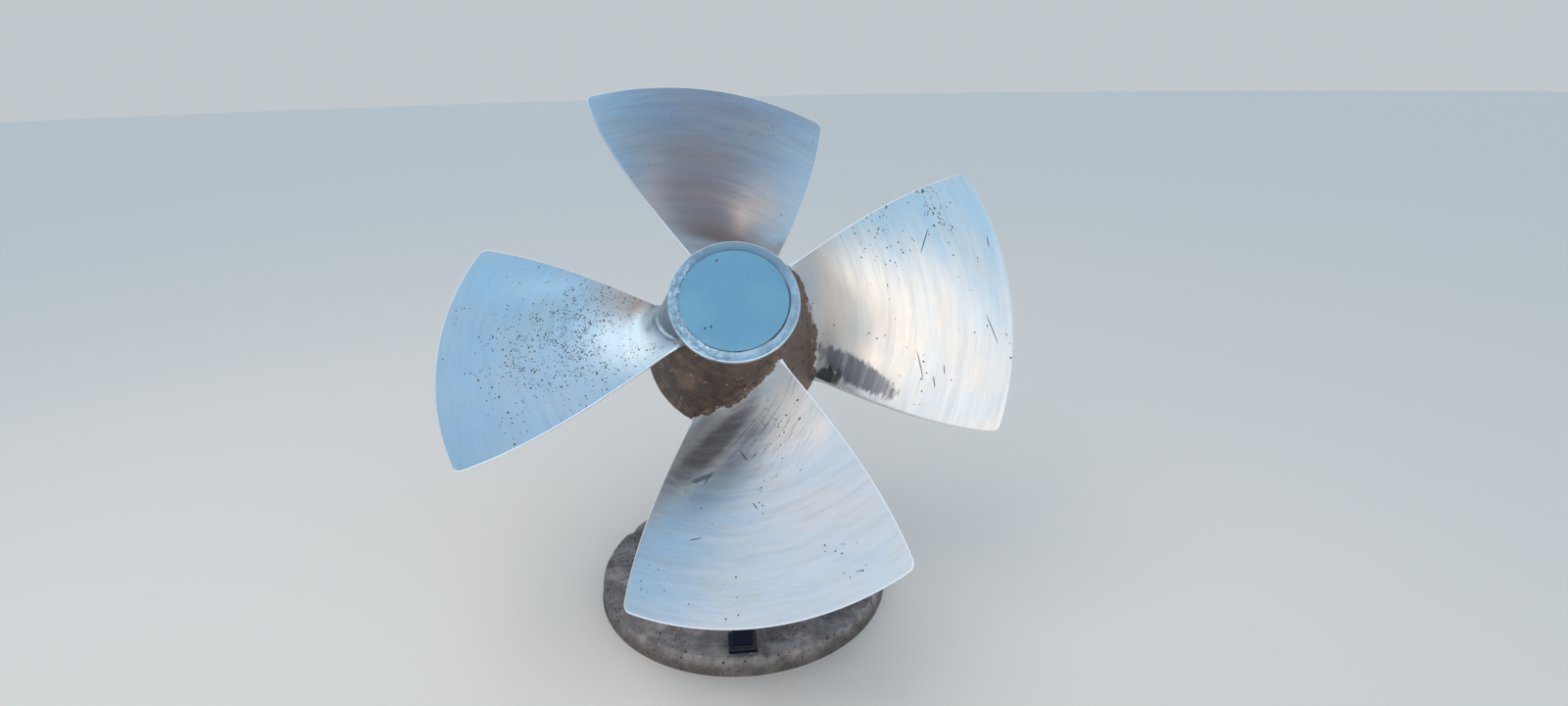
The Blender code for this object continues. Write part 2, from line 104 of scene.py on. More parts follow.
class PropellerSizes(bpy.types.PropertyGroup):
    """Sizes of the blades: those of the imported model, and finer ones for their finish."""

    tip_radius: FloatProperty(
        name="Tip radius", description="From the shaft line to the blade tips",
        default=0.700, min=0.3, max=3.0, unit="LENGTH",
    )
    pitch: FloatProperty(
        name="Pitch", description="Advance of the blade surface in one turn",
        default=1.244, min=0.3, max=4.0, unit="LENGTH",
    )
    blade_count: IntProperty(
        name="Blades", description="Number of blades", default=4, min=2, max=6,
    )
    blade_phase: FloatProperty(
        name="Blade phase", description="Turn of the first blade from the right",
        default=math.radians(3.0), subtype="ANGLE",
    )
    tip_half_angle: FloatProperty(
        name="Tip half angle", description="From a blade's middle line to its edge at the tip",
        default=math.radians(26.9), subtype="ANGLE",
    )
    root_half_angle: FloatProperty(
        name="Root half angle", description="From a blade's middle line to its edge at the root",
        default=math.radians(32.5), subtype="ANGLE",
    )
    edge_curve: FloatProperty(
        name="Edge curve", description="Power that bows a blade's side edges",
        default=2.7, min=1.0, max=5.0,
    )
    corner_radius: FloatProperty(
        name="Corner radius", description="Rounding of the blade tip's two corners",
        default=0.018, min=0.001, max=0.1, unit="LENGTH",
    )
    edge_thickness: FloatProperty(
        name="Edge thickness", description="Thickness of a blade along its outline",
        default=0.008, min=0.002, max=0.05, unit="LENGTH",
    )
    edge_rounding: FloatProperty(
        name="Edge rounding", description="Radius ground on the blade's outline",
        default=0.0034, min=0.0005, max=0.02, unit="LENGTH",
    )
    tip_thickness: FloatProperty(
        name="Tip thickness", description="Thickness of a blade's middle at the tip",
        default=0.011, min=0.002, max=0.05, unit="LENGTH",
    )
    root_thickness: FloatProperty(
        name="Root thickness", description="Thickness of a blade's middle inside the hub",
        default=0.050, min=0.01, max=0.2, unit="LENGTH",
    )
    inner_radius: FloatProperty(
        name="Inner radius", description="Radius at which the root thickness holds",
        default=0.115, min=0.02, max=1.0, unit="LENGTH",
    )
    root_flare: FloatProperty(
        name="Root flare", description="Broad swelling of a blade where it meets the hub",
        default=0.020, min=0.0, max=0.1, unit="LENGTH",
    )
    flare_reach: FloatProperty(
        name="Flare reach", description="Distance from the hub over which the flare fades",
        default=0.060, min=0.01, max=0.3, unit="LENGTH",
    )
    root_fillet: FloatProperty(
        name="Root fillet", description="Radius of the fillet between blade and hub",
        default=0.014, min=0.002, max=0.05, unit="LENGTH",
    )
    root_widening: FloatProperty(
        name="Root widening", description="Widening of a blade's edges at the hub",
        default=0.006, min=0.0, max=0.05, unit="LENGTH",
    )
    surface_wave: FloatProperty(
        name="Surface wave", description="Height of the waves that hand grinding left",
        default=0.0009, min=0.0, max=0.005, unit="LENGTH",
    )


class HubSizes(bpy.types.PropertyGroup):
    """Sizes of the hub."""

    front_radius: FloatProperty(
        name="Front radius", description="Radius of the hub behind the cover",
        default=0.147, min=0.05, max=1.0, unit="LENGTH",
    )
    belly_radius: FloatProperty(
        name="Belly radius", description="Largest radius of the hub",
        default=0.223, min=0.05, max=1.0, unit="LENGTH",
    )
    rear_radius: FloatProperty(
        name="Rear radius", description="Radius of the hub's rear face",
        default=0.205, min=0.05, max=1.0, unit="LENGTH",
    )
    belly_setback: FloatProperty(
        name="Belly setback", description="From the hub's centre back to its largest radius",
        default=0.150, min=0.0, max=1.0, unit="LENGTH",
    )
    bore_radius: FloatProperty(
        name="Bore radius", description="Radius of the bore",
        default=0.075, min=0.01, max=0.5, unit="LENGTH",
    )
    cast_relief: FloatProperty(
        name="Cast relief", description="Height of the rough skin left by the mould",
        default=0.0007, min=0.0, max=0.01, unit="LENGTH",
    )


class FinishColours(bpy.types.PropertyGroup):
    """Main colours of the finishes."""

    blade: FloatVectorProperty(
        name="Blade metal", description="Ground steel of the blades",
        default=(0.66, 0.68, 0.70), size=3, min=0.0, max=1.0, subtype="COLOR",
    )
    hub: FloatVectorProperty(
        name="Hub skin", description="Brown skin of the unground hub",
        default=(0.112, 0.077, 0.058), size=3, min=0.0, max=1.0, subtype="COLOR",
    )
    cover: FloatVectorProperty(
        name="Cover metal", description="Brushed steel of the front cover",
        default=(0.33, 0.415, 0.465), size=3, min=0.0, max=1.0, subtype="COLOR",
    )
    plaque: FloatVectorProperty(
        name="Plaque", description="Pale blue sheet of the bare plaque",
        default=(0.150, 0.340, 0.475), size=3, min=0.0, max=1.0, subtype="COLOR",
    )
    paint: FloatVectorProperty(
        name="Stand paint", description="Blue-black paint of the stand",
        default=(0.004, 0.008, 0.025), size=3, min=0.0, max=1.0, subtype="COLOR",
    )
    concrete: FloatVectorProperty(
        name="Concrete", description="Weathered concrete of the footing",
        default=(0.215, 0.196, 0.186), size=3, min=0.0, max=1.0, subtype="COLOR",
    )


class StageSettings(bpy.types.PropertyGroup):
    """Floor and light of the stage."""

    floor: FloatVectorProperty(
        name="Floor", description="Pale floor",
        default=(0.84, 0.75, 0.67), size=3, min=0.0, max=1.0, subtype="COLOR",
    )
    dome_strength: FloatProperty(
        name="Dome strength", description="Strength of the soft dome light",
        default=1.0, min=0.0, max=10.0,
    )
    key_power: FloatProperty(
        name="Key power", description="Power of the large soft key light",
        default=70.0, min=0.0, max=5000.0, unit="POWER",
    )


# Share of the root fillet that a blade's faces give up to its edges
EDGE_FILLET = 0.6
# Distance from a blade's outline over which its waves grow
WAVE_FADE = 0.02


def rounded(radius, into):
    """Give how far a round corner has fallen away at a distance into it."""
    into = max(0.0, into)
    return radius - math.sqrt(max(0.0, radius ** 2 - into ** 2))


class Shape:
    """The propeller's surfaces in the shaft's frame, worked out from its sizes."""

    def __init__(self, scene):
        self.blade = scene.propeller_sizes
        self.hub = scene.hub_sizes
        self.lead = self.blade.pitch / FULL_TURN

    def hub_radius(self, height):
        """Give the hub's outer radius at a height along the shaft line."""
        hub = self.hub
        if height > -hub.belly_setback:
            share = (HUB_FRONT_LENGTH - height) / (HUB_FRONT_LENGTH + hub.belly_setback)
            return hub.front_radius + (hub.belly_radius - hub.front_radius) * max(0.0, share)
        share = (-hub.belly_setback - height) / (HUB_REAR_LENGTH - hub.belly_setback)
        return hub.belly_radius + (hub.rear_radius - hub.belly_radius) * min(1.0, share) ** 2

    def half_angle(self, radius):
        """Give the angle from a blade's middle line to its edge."""
        blade = self.blade
        share = (radius / blade.tip_radius) ** blade.edge_curve
        return blade.root_half_angle + (blade.tip_half_angle - blade.root_half_angle) * share

    def reach(self, angle, radius):
        """Give the distance out from the hub."""
        return radius - self.hub_radius(self.lead * angle)

    def chord(self, angle, radius):
        """Give the share of the way from a blade's middle line to its edge."""
        return min(1.0, abs(angle) / self.half_angle(radius))

    def root(self, angle, radius):
        """Give the share of the flare and the rise of the fillet, both 0 away from the hub."""
        reach = max(0.0, self.reach(angle, radius))
        broad = max(0.0, 1.0 - reach / self.blade.flare_reach) ** 2
        return broad, rounded(self.blade.root_fillet, self.blade.root_fillet - reach)

    def flare(self, angle, radius):
        """Give how far the blade's faces swell towards the hub."""
        broad, fillet = self.root(angle, radius)
        fade = self.chord(angle, radius) ** 4
        return self.blade.root_flare * broad * (1.0 - fade) + fillet * (1.0 - EDGE_FILLET * fade)

    def edge_angle(self, radius, side, angle):
        """Give the angle of a blade's edge near an angle, on one side."""
        blade = self.blade
        into_corner = radius - (blade.tip_radius - blade.corner_radius)
        edge = self.half_angle(radius) - rounded(blade.corner_radius, into_corner) / radius
        broad, fillet = self.root(angle, radius)
        edge += (blade.root_widening * broad + EDGE_FILLET * fillet) / radius
        return side * edge

    def thickness(self, angle, radius):
        """Give a blade's thickness along the shaft line, without the flare."""
        blade = self.blade
        share = (radius - blade.inner_radius) / (blade.tip_radius - blade.inner_radius)
        middle = blade.root_thickness + (blade.tip_thickness - blade.root_thickness) * share
        bulge = 1.0 - self.chord(angle, radius) ** 2
        across = blade.edge_thickness + (middle - blade.edge_thickness) * bulge
        return across * math.sqrt(1.0 + (self.lead / radius) ** 2)

    def outline_inset(self, angle, radius):
        """Give the distance from a blade's outline, measured inwards on its surface."""
        blade = self.blade
        side = math.sqrt(radius ** 2 + self.lead ** 2) * (self.half_angle(radius) - abs(angle))
        tip = blade.tip_radius - radius
        if side < blade.corner_radius and tip < blade.corner_radius:
            away = math.hypot(blade.corner_radius - side, blade.corner_radius - tip)
            return max(0.0, blade.corner_radius - away)
        return max(0.0, min(side, tip))

    def edge_rounding(self, angle, radius):
        """Give how far each face falls away at the blade's rounded outline."""
        if self.reach(angle, radius) < 0.0:
            return 0.0
        rounding = self.blade.edge_rounding
        return rounded(rounding, rounding - self.outline_inset(angle, radius))

    def wave(self, angle, radius, number):
        """Give the shallow wave that hand grinding left on a blade's face."""
        along = angle * radius
        broad = noise.noise(Vector((along * 5.0, radius * 9.0, number * 7.0)))
        fine = noise.noise(Vector((along * 9.0, radius * 26.0, number * 7.0 + 3.0)))
        inset = min(1.0, self.outline_inset(angle, radius) / WAVE_FADE)
        return self.blade.surface_wave * (broad + 0.3 * fine) * inset

    def point(self, angle, radius, depth):
        """Give a point at a depth behind the helicoidal pitch surface."""
        flat = (radius * math.cos(angle), radius * math.sin(angle))
        return Vector((*flat, self.lead * angle - depth))


# Stations of the fine blade mesh, in metres from the hub, the edges and the tip
ROOT_REACHES = (
    -0.012, 0.0003, 0.0012, 0.0024, 0.004, 0.006, 0.0085, 0.0115,
    0.015, 0.019, 0.024, 0.030, 0.037, 0.045,
)
EDGE_INSETS = (0.0, 0.0004, 0.0009, 0.0016, 0.0024, 0.0034, 0.0050, 0.0075, 0.011, 0.016)
TIP_INSETS = (0.0, 0.0003, 0.0008, 0.0015, 0.0024, 0.0034, 0.0055, 0.009, 0.013, 0.018)
SPAN_STEPS = 46
CHORD_STEPS = 44
PLACE_ROUNDS = 5


def blade_rows():
    """List (share, offset) pairs: radius = hub + (tip - hub) x share + offset."""
    rows = [(0.0, reach) for reach in ROOT_REACHES]
    start, stop = ROOT_REACHES[-1], -TIP_INSETS[-1]
    for step in range(1, SPAN_STEPS):
        share = step / SPAN_STEPS
        rows.append((share, start + (stop - start) * share))
    rows += [(1.0, -inset) for inset in reversed(TIP_INSETS)]
    return rows


def blade_columns():
    """List (share, inset) pairs: angle = share x (edge - last inset), or edge - inset."""
    inner = EDGE_INSETS[-1]
    columns = [(-1.0, inset) for inset in EDGE_INSETS]
    for step in range(1, CHORD_STEPS):
        columns.append((2.0 * step / CHORD_STEPS - 1.0, inner))
    columns += [(1.0, inset) for inset in reversed(EDGE_INSETS)]
    return columns


def blade_place(shape, row, column):
    """Give the angle and radius of one point of a blade's mesh."""
    share, offset = row
    across, inset = column
    side = 1.0 if across >= 0.0 else -1.0
    tip = shape.blade.tip_radius
    angle = across * shape.blade.root_half_angle
    for _ in range(PLACE_ROUNDS):
        hub = shape.hub_radius(shape.lead * angle)
        radius = hub + (tip - hub) * share + offset
        edge = abs(shape.edge_angle(radius, side, angle))
        per_radian = math.sqrt(radius ** 2 + shape.lead ** 2)
        angle = across * (edge - inset / per_radian)
    return angle, radius


def blade_body(shape, number):
    """Make one blade as a closed body in the shaft's frame, turned to its place."""
    rows, columns = blade_rows(), blade_columns()
    bm = bmesh.new()
    bmesh.ops.create_grid(bm, x_segments=len(columns) - 1, y_segments=len(rows) - 1, size=1.0)
    grown = bmesh.ops.extrude_face_region(bm, geom=bm.faces[:])
    back = {item for item in grown["geom"] if isinstance(item, bmesh.types.BMVert)}
    turn = Matrix.Rotation(blade_turn(shape, number), 3, "Z")
    for vert in bm.verts:
        column = columns[round((vert.co.x + 1.0) / 2.0 * (len(columns) - 1))]
        row = rows[round((vert.co.y + 1.0) / 2.0 * (len(rows) - 1))]
        angle, radius = blade_place(shape, row, column)
        swell = shape.flare(angle, radius) - shape.edge_rounding(angle, radius)
        swell += shape.wave(angle, radius, number)
        depth = shape.thickness(angle, radius) + swell if vert in back else -swell
        vert.co = turn @ shape.point(angle, radius, depth)
    face_outwards(bm)
    return bm


def blade_turn(shape, number):
    """Give a blade's turn about the shaft line; blade 0 points to the right."""
    return shape.blade.blade_phase + number * FULL_TURN / shape.blade.blade_count


def face_outwards(bm):
    """Turn the faces of a closed body outwards."""
    bmesh.ops.recalc_face_normals(bm, faces=bm.faces[:])
    if bm.calc_volume(signed=True) < 0.0:
        bmesh.ops.reverse_faces(bm, faces=bm.faces[:])


def turned(outline, steps, closed=False):
    """Spin a line of (radius, height) points about Z into a surface."""
    bm = bmesh.new()
    verts = [bm.verts.new((radius, 0.0, height)) for radius, height in outline]
    pairs = list(zip(verts, verts[1:]))
    if closed:
        pairs.append((verts[-1], verts[0]))
    edges = [bm.edges.new(pair) for pair in pairs]
    bmesh.ops.spin(
        bm, geom=verts + edges, cent=(0.0, 0.0, 0.0), axis=UP,
        angle=FULL_TURN, steps=steps, use_merge=True,
    )
    bmesh.ops.remove_doubles(bm, verts=bm.verts[:], dist=MERGE_DISTANCE)
    face_outwards(bm)
    return bm


def arc(centre, radius, start, stop, steps):
    """List the (radius, height) points of a round corner."""
    points = []
    for step in range(steps + 1):
        angle = start + (stop - start) * step / steps
        points.append((centre[0] + radius * math.cos(angle), centre[1] + radius * math.sin(angle)))
    return points


def as_mesh(name, bm):
    """Turn a bmesh into a mesh and free it."""
    mesh = bpy.data.meshes.new(name)
    bm.to_mesh(mesh)
    bm.free()
    return mesh


def linked(name, data):
    """Make an object at the origin from its data and link it to the scene."""
    obj = bpy.data.objects.new(name, data)
    bpy.context.scene.collection.objects.link(obj)
    return obj


def mesh_object(name, bm, place=None):
    """Turn a bmesh into an object at the origin, with its place in its mesh."""
    mesh = as_mesh(name, bm)
    if place is not None:
        mesh.transform(place)
    return linked(name, mesh)


def finish_piece(obj, material, sharp=35.0):
    """Shade a piece, sharp past an angle in degrees, and give it its material, slot and body."""
    obj.data.shade_smooth()
    obj.data.set_sharp_from_angle(angle=math.radians(sharp))
    obj.data.materials.clear()
    obj.data.materials.append(material)
    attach(obj, BODY)


# The casting

HUB_STEPS = 240
HUB_RINGS = 60
HUB_CORNER = 0.004
HUB_CORNER_STEPS = 3
# Least radius at which a place is read as one on a blade
INNERMOST_RADIUS = 0.05
# Distance from the hub within which its cast skin is rough, and over which that fades
SKIN_LIMIT = 0.012
SKIN_FADE = 0.008


def hub_body(shape):
    """Make the hub as a closed turned body in the shaft's frame."""
    hub = shape.hub
    top, bottom = HUB_FRONT_LENGTH - HUB_CORNER, -HUB_REAR_LENGTH + HUB_CORNER
    outline = [(hub.bore_radius, -HUB_REAR_LENGTH), (hub.bore_radius, HUB_FRONT_LENGTH)]
    outline += arc((hub.front_radius - HUB_CORNER, top), HUB_CORNER, QUARTER_TURN, 0.0, HUB_CORNER_STEPS)
    for ring in range(1, HUB_RINGS):
        height = top + (bottom - top) * ring / HUB_RINGS
        outline.append((shape.hub_radius(height), height))
    rear = (shape.hub_radius(bottom) - HUB_CORNER, bottom)
    outline += arc(rear, HUB_CORNER, 0.0, -QUARTER_TURN, HUB_CORNER_STEPS)
    return turned(outline, HUB_STEPS, closed=True)


def joined(body, others):
    """Union several temporary objects into one mesh and remove them."""
    for other in others:
        modifier = body.modifiers.new("union", "BOOLEAN")
        modifier.operation = "UNION"
        modifier.solver = "EXACT"
        modifier.object = other
    graph = bpy.context.evaluated_depsgraph_get()
    mesh = bpy.data.meshes.new_from_object(body.evaluated_get(graph))
    for obj in (body, *others):
        bpy.data.objects.remove(obj, do_unlink=True)
    return mesh


def mark_surface(bm, shape):
    """Store on each vertex its place on a blade, its reach from the hub, its side and its inset."""
    place = bm.verts.layers.float_vector.new("blade_place")
    reach = bm.verts.layers.float.new("reach")
    front = bm.verts.layers.float.new("front")
    outline = bm.verts.layers.float.new("outline")
    apart = FULL_TURN / shape.blade.blade_count
    for vert in bm.verts:
        radius = math.hypot(vert.co.x, vert.co.y)
        outer = max(radius, INNERMOST_RADIUS)
        around = math.atan2(vert.co.y, vert.co.x) - shape.blade.blade_phase
        number = round(around / apart)
        angle = around - number * apart
        depth = shape.lead * angle - vert.co.z
        vert[place] = Vector((angle * radius, radius, float(number % shape.blade.blade_count)))
        vert[reach] = radius - shape.hub_radius(vert.co.z)
        vert[front] = 1.0 if depth < shape.thickness(angle, outer) / 2.0 else 0.0
        inside = max(0.0, shape.blade.root_fillet - vert[reach])
        vert[outline] = shape.outline_inset(angle, outer) + inside


def roughen_hub(bm, shape):
    """Push the hub's skin in and out as a sand mould leaves it."""
    reach = bm.verts.layers.float["reach"]
    bm.normal_update()
    for vert in bm.verts:
        radius = math.hypot(vert.co.x, vert.co.y)
        if radius < shape.hub.bore_radius + CLEARANCE or abs(vert[reach]) > SKIN_LIMIT:
            continue
        if vert.co.z > HUB_FRONT_LENGTH - HUB_CORNER or vert.co.z < -HUB_REAR_LENGTH + CLEARANCE:
            continue
        share = 1.0 - min(1.0, max(0.0, vert[reach]) / SKIN_FADE)
        lumps = noise.noise(vert.co * 60.0) + 0.5 * noise.noise(vert.co * 150.0)
        vert.co += vert.normal * (lumps * shape.hub.cast_relief * share)


def build_casting(shape):
    """Make the hub and blades as one closed mesh in the world's frame."""
    body = mesh_object("hub_part", hub_body(shape))
    blades = [
        mesh_object(f"blade_part_{number}", blade_body(shape, number))
        for number in range(shape.blade.blade_count)
    ]
    mesh = joined(body, blades)
    bm = bmesh.new()
    bm.from_mesh(mesh)
    bpy.data.meshes.remove(mesh)
    bmesh.ops.dissolve_degenerate(bm, dist=MERGE_DISTANCE, edges=bm.edges[:])
    mark_surface(bm, shape)
    roughen_hub(bm, shape)
    return mesh_object("propeller", bm, SHAFT)


class PROPELLER_OT_casting(bpy.types.Operator):
    """Model the hub and blades as one casting with ground faces"""

    bl_idname = "propeller.casting"
    bl_label = "Casting"

    def execute(self, context):
        shape = Shape(context.scene)
        casting = build_casting(shape)
        finish_piece(casting, casting_material(context.scene), 50.0)
        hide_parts("propeller_casting")
        return {"FINISHED"}


# Materials

class Nodes:
    """A node tree while it is being made."""

    def __init__(self, tree):
        self.tree = tree

    def put(self, socket, value):
        """Join a socket to another, or give it a value."""
        if isinstance(value, bpy.types.NodeSocket):
            self.tree.links.new(value, socket)
        elif socket.type == "RGBA" and len(value) == 3:
            socket.default_value = (*value, 1.0)
        else:
            socket.default_value = value

    def fill(self, node, values):
        """Join or set a node's inputs by number."""
        for index, value in values.items():
            self.put(node.inputs[index], value)

    def node(self, kind, settings=None, **sockets):
        """Add a node, with its settings and its inputs by name."""
        made = self.tree.nodes.new("ShaderNode" + kind)
        for name, value in (settings or {}).items():
            setattr(made, name, value)
        for name, value in sockets.items():
            self.put(made.inputs[name.replace("_", " ")], value)
        return made

    def place(self):
        """Give the object coordinates."""
        return self.node("TexCoord").outputs["Object"]

    def shaft_place(self):
        """Give the place in the shaft's frame."""
        return self.seen_from(self.place(), HUB_CENTRE, (SHAFT_TILT, 0.0, 0.0))

    def seen_from(self, vector, place, turn, scale=(1.0, 1.0, 1.0)):
        """Give a vector in a frame that is moved, turned and scaled."""
        made = self.node(
            "Mapping", {"vector_type": "TEXTURE"}, Vector=vector,
            Location=place, Rotation=turn, Scale=scale,
        )
        return made.outputs[0]

    def slanted(self, vector, degrees, scale=(1.0, 1.0, 1.0)):
        """Scale a vector and turn it about Z."""
        turn = (0.0, 0.0, math.radians(degrees))
        made = self.node("Mapping", {"vector_type": "POINT"}, Vector=vector, Rotation=turn, Scale=scale)
        return made.outputs[0]

    def read(self, name, output="Fac"):
        """Give a value that is stored on the surface."""
        return self.node("Attribute", {"attribute_name": name}).outputs[output]

    def math(self, operation, first, second=0.0):
        """Combine two numbers."""
        made = self.node("Math", {"operation": operation})
        self.fill(made, {0: first, 1: second})
        return made.outputs[0]

    def times(self, first, second):
        """Multiply two numbers."""
        return self.math("MULTIPLY", first, second)

    def plus(self, first, second):
        """Add two numbers."""
        return self.math("ADD", first, second)

    def less(self, first, second):
        """Take the second number from the first."""
        return self.math("SUBTRACT", first, second)

    def most(self, first, second):
        """Give the larger of two numbers."""
        return self.math("MAXIMUM", first, second)

    def vector(self, operation, first, second=(0.0, 0.0, 0.0), output="Vector"):
        """Combine two vectors into a vector, or into a number where the output is Value."""
        made = self.node("VectorMath", {"operation": operation})
        self.fill(made, {0: first, 1: second})
        return made.outputs[output]

    def stretched(self, vector, factors):
        """Scale a vector along each axis."""
        return self.vector("MULTIPLY", vector, factors)

    def split(self, vector):
        """Give the three parts of a vector."""
        return self.node("SeparateXYZ", Vector=vector).outputs

    def grain(self, vector, scale, detail, roughness, distortion=0.0):
        """Give a noise value around 0.5."""
        made = self.node(
            "TexNoise", Vector=vector, Scale=scale, Detail=detail,
            Roughness=roughness, Distortion=distortion,
        )
        return made.outputs["Fac"]

    def streaks(self, vector, factors, detail, roughness, distortion=0.0):
        """Give a noise value that is stretched by a scale along each axis."""
        return self.grain(self.stretched(vector, factors), 1.0, detail, roughness, distortion)

    def cells(self, vector, scale, space):
        """Give the distance and random colour of scattered cells."""
        made = self.node("TexVoronoi", {"voronoi_dimensions": space}, Vector=vector, Scale=scale)
        return made.outputs

    def span(self, value, low, high, start=0.0, stop=1.0, smooth=True):
        """Map a range of values to another, held at its ends."""
        kind = "SMOOTHSTEP" if smooth else "LINEAR"
        made = self.node("MapRange", {"interpolation_type": kind, "clamp": True})
        self.fill(made, {0: value, 1: low, 2: high, 3: start, 4: stop})
        return made.outputs[0]

    def mix(self, share, first, second):
        """Mix two colours."""
        made = self.node("Mix", {"data_type": "RGBA", "clamp_factor": True})
        self.fill(made, {0: share, 6: first, 7: second})
        return made.outputs[2]

    def coat(self, colour, mask, share, over):
        """Lay a colour over another, as far as a mask and a share say."""
        return self.mix(self.times(mask, share), colour, over)

    def blend(self, share, first, second):
        """Mix two numbers."""
        made = self.node("Mix", {"data_type": "FLOAT"})
        self.fill(made, {0: share, 2: first, 3: second})
        return made.outputs[0]

    def relief(self, *layers):
        """Give the normal of reliefs, each a pattern and its height in metres."""
        normal = None
        for pattern, height in layers:
            made = self.node("Bump", Height=pattern, Distance=height, Strength=1.0)
            if normal is not None:
                self.put(made.inputs["Normal"], normal)
            normal = made.outputs[0]
        return normal


class Finish(Nodes):
    """A node material while it is being made."""

    def __init__(self, name):
        self.material = bpy.data.materials.new(name)
        self.material.use_nodes = True
        super().__init__(self.material.node_tree)
        self.shader = self.tree.nodes["Principled BSDF"]

    def surface(self, **sockets):
        """Set or join the shader's own inputs."""
        for name, value in sockets.items():
            self.put(self.shader.inputs[name.replace("_", " ")], value)


class CastingFinish(Finish):
    """The casting's material, with what it reads from the surface."""

    def __init__(self):
        super().__init__("ground_blades_and_cast_hub")
        self.shaft = self.shaft_place()
        self.mark = self.read("blade_place", "Vector")
        self.reach = self.read("reach")
        self.front = self.read("front")
        self.outline = self.read("outline")
        self.streak = self.streaks(self.mark, (3.5, 55.0, 5.0), 6.0, 0.65)


def toned(colour, factors):
    """Multiply a colour's three parts."""
    return tuple(part * factor for part, factor in zip(colour, factors))


# How far a pit's place is warped, as a share of its cell
PIT_WARP = 0.35
# Least and most radius of a pit, as shares of the one asked for, and its flat floor, as a share of it
PIT_SIZES = (0.65, 1.15)
PIT_FLOOR = 0.6


def pits(finish, place, scale, size, presence, space="3D"):
    """Give a mask of scattered pits; presence is the share of cells that hold one."""
    wobble = finish.node("TexNoise", Vector=place, Scale=scale * 1.7, Detail=2.0).outputs["Color"]
    warped = finish.vector("ADD", place, finish.stretched(wobble, (PIT_WARP / scale,) * 3))
    distance, colour = finish.cells(warped, scale, space)[:2]
    chance, spread, _ = finish.split(colour)
    edge = finish.times(size, finish.span(spread, 0.0, 1.0, *PIT_SIZES))
    spot = finish.span(distance, edge, finish.times(edge, PIT_FLOOR))
    return finish.times(spot, finish.math("LESS_THAN", chance, presence))


RIGHT_BLADE, TOP_BLADE, LEFT_BLADE, LOWER_BLADE = range(4)
# Spread of a patch across the blades' numbers, which keeps it on one blade
BLADE_APART = 0.3


def patch(finish, blade, middle, spread, turn=0.0):
    """Give a soft oval mask on one blade; its middle is (across, radius) in metres."""
    place, scale = (*middle, float(blade)), (*spread, BLADE_APART)
    local = finish.seen_from(finish.mark, place, (0.0, 0.0, math.radians(turn)), scale)
    away = finish.vector("DOT_PRODUCT", local, local, "Value")
    return finish.math("EXPONENT", finish.times(away, -1.0))


# Painted reflections, bright and dark, as soft tints: blade, middle, spread, turn in degrees, share,
# colour
PAINTED_REFLECTIONS = (
    (LEFT_BLADE, (-0.010, 0.340), (0.110, 0.100), 0.0, 0.45, (0.90, 0.91, 0.93)),
    (LEFT_BLADE, (-0.190, 0.450), (0.050, 0.150), 0.0, 0.45, (0.90, 0.92, 0.95)),
    (LEFT_BLADE, (-0.115, 0.250), (0.040, 0.040), 0.0, 0.50, (0.56, 0.36, 0.28)),
    (RIGHT_BLADE, (0.020, 0.250), (0.100, 0.035), 0.0, 0.60, (0.97, 0.78, 0.64)),
    (RIGHT_BLADE, (-0.100, 0.345), (0.020, 0.075), 32.0, 0.35, (1.00, 0.84, 0.70)),
    (RIGHT_BLADE, (-0.062, 0.232), (0.055, 0.030), 0.0, 0.55, (0.30, 0.26, 0.25)),
    (RIGHT_BLADE, (-0.025, 0.350), (0.060, 0.040), 0.0, 0.30, (0.34, 0.31, 0.28)),
    (TOP_BLADE, (0.0, 0.230), (0.150, 0.050), 0.0, 0.50, (0.29, 0.22, 0.19)),
    (TOP_BLADE, (-0.048, 0.305), (0.024, 0.042), 20.0, 0.90, (1.00, 0.86, 0.76)),
    (TOP_BLADE, (0.170, 0.400), (0.050, 0.090), 0.0, 0.55, (0.98, 0.91, 0.86)),
    (LOWER_BLADE, (-0.110, 0.255), (0.150, 0.055), 139.0, 0.55, (0.270, 0.220, 0.195)),
    (LOWER_BLADE, (0.080, 0.300), (0.075, 0.060), -33.0, 0.55, (0.96, 0.78, 0.64)),
    (LOWER_BLADE, (0.165, 0.345), (0.030, 0.030), 0.0, 0.45, (1.00, 0.86, 0.72)),
)

# Painted dark reflections with a broken edge: blade, middle, spread, turn, break, low, high, share,
# colour
PAINTED_DARK_REFLECTIONS = (
    (LOWER_BLADE, (-0.086, 0.296), (0.180, 0.033), 139.0, 0.12, 0.15, 0.85, 0.78,
     (0.085, 0.076, 0.092)),
    (LOWER_BLADE, (-0.116, 0.372), (0.040, 0.006), 155.0, 0.12, 0.20, 0.80, 0.70,
     (0.070, 0.075, 0.100)),
    (RIGHT_BLADE, (-0.132, 0.322), (0.150, 0.029), 123.0, 0.20, 0.38, 0.62, 0.82,
     (0.074, 0.084, 0.118)),
    (RIGHT_BLADE, (-0.130, 0.250), (0.045, 0.024), 100.0, 0.35, 0.35, 0.65, 0.90,
     (0.040, 0.042, 0.046)),
)

# Where a brush crossed the lower blade's root: middle, spread, turn
CROSS_BRUSHED = ((0.055, 0.290), (0.110, 0.080), -38.0)

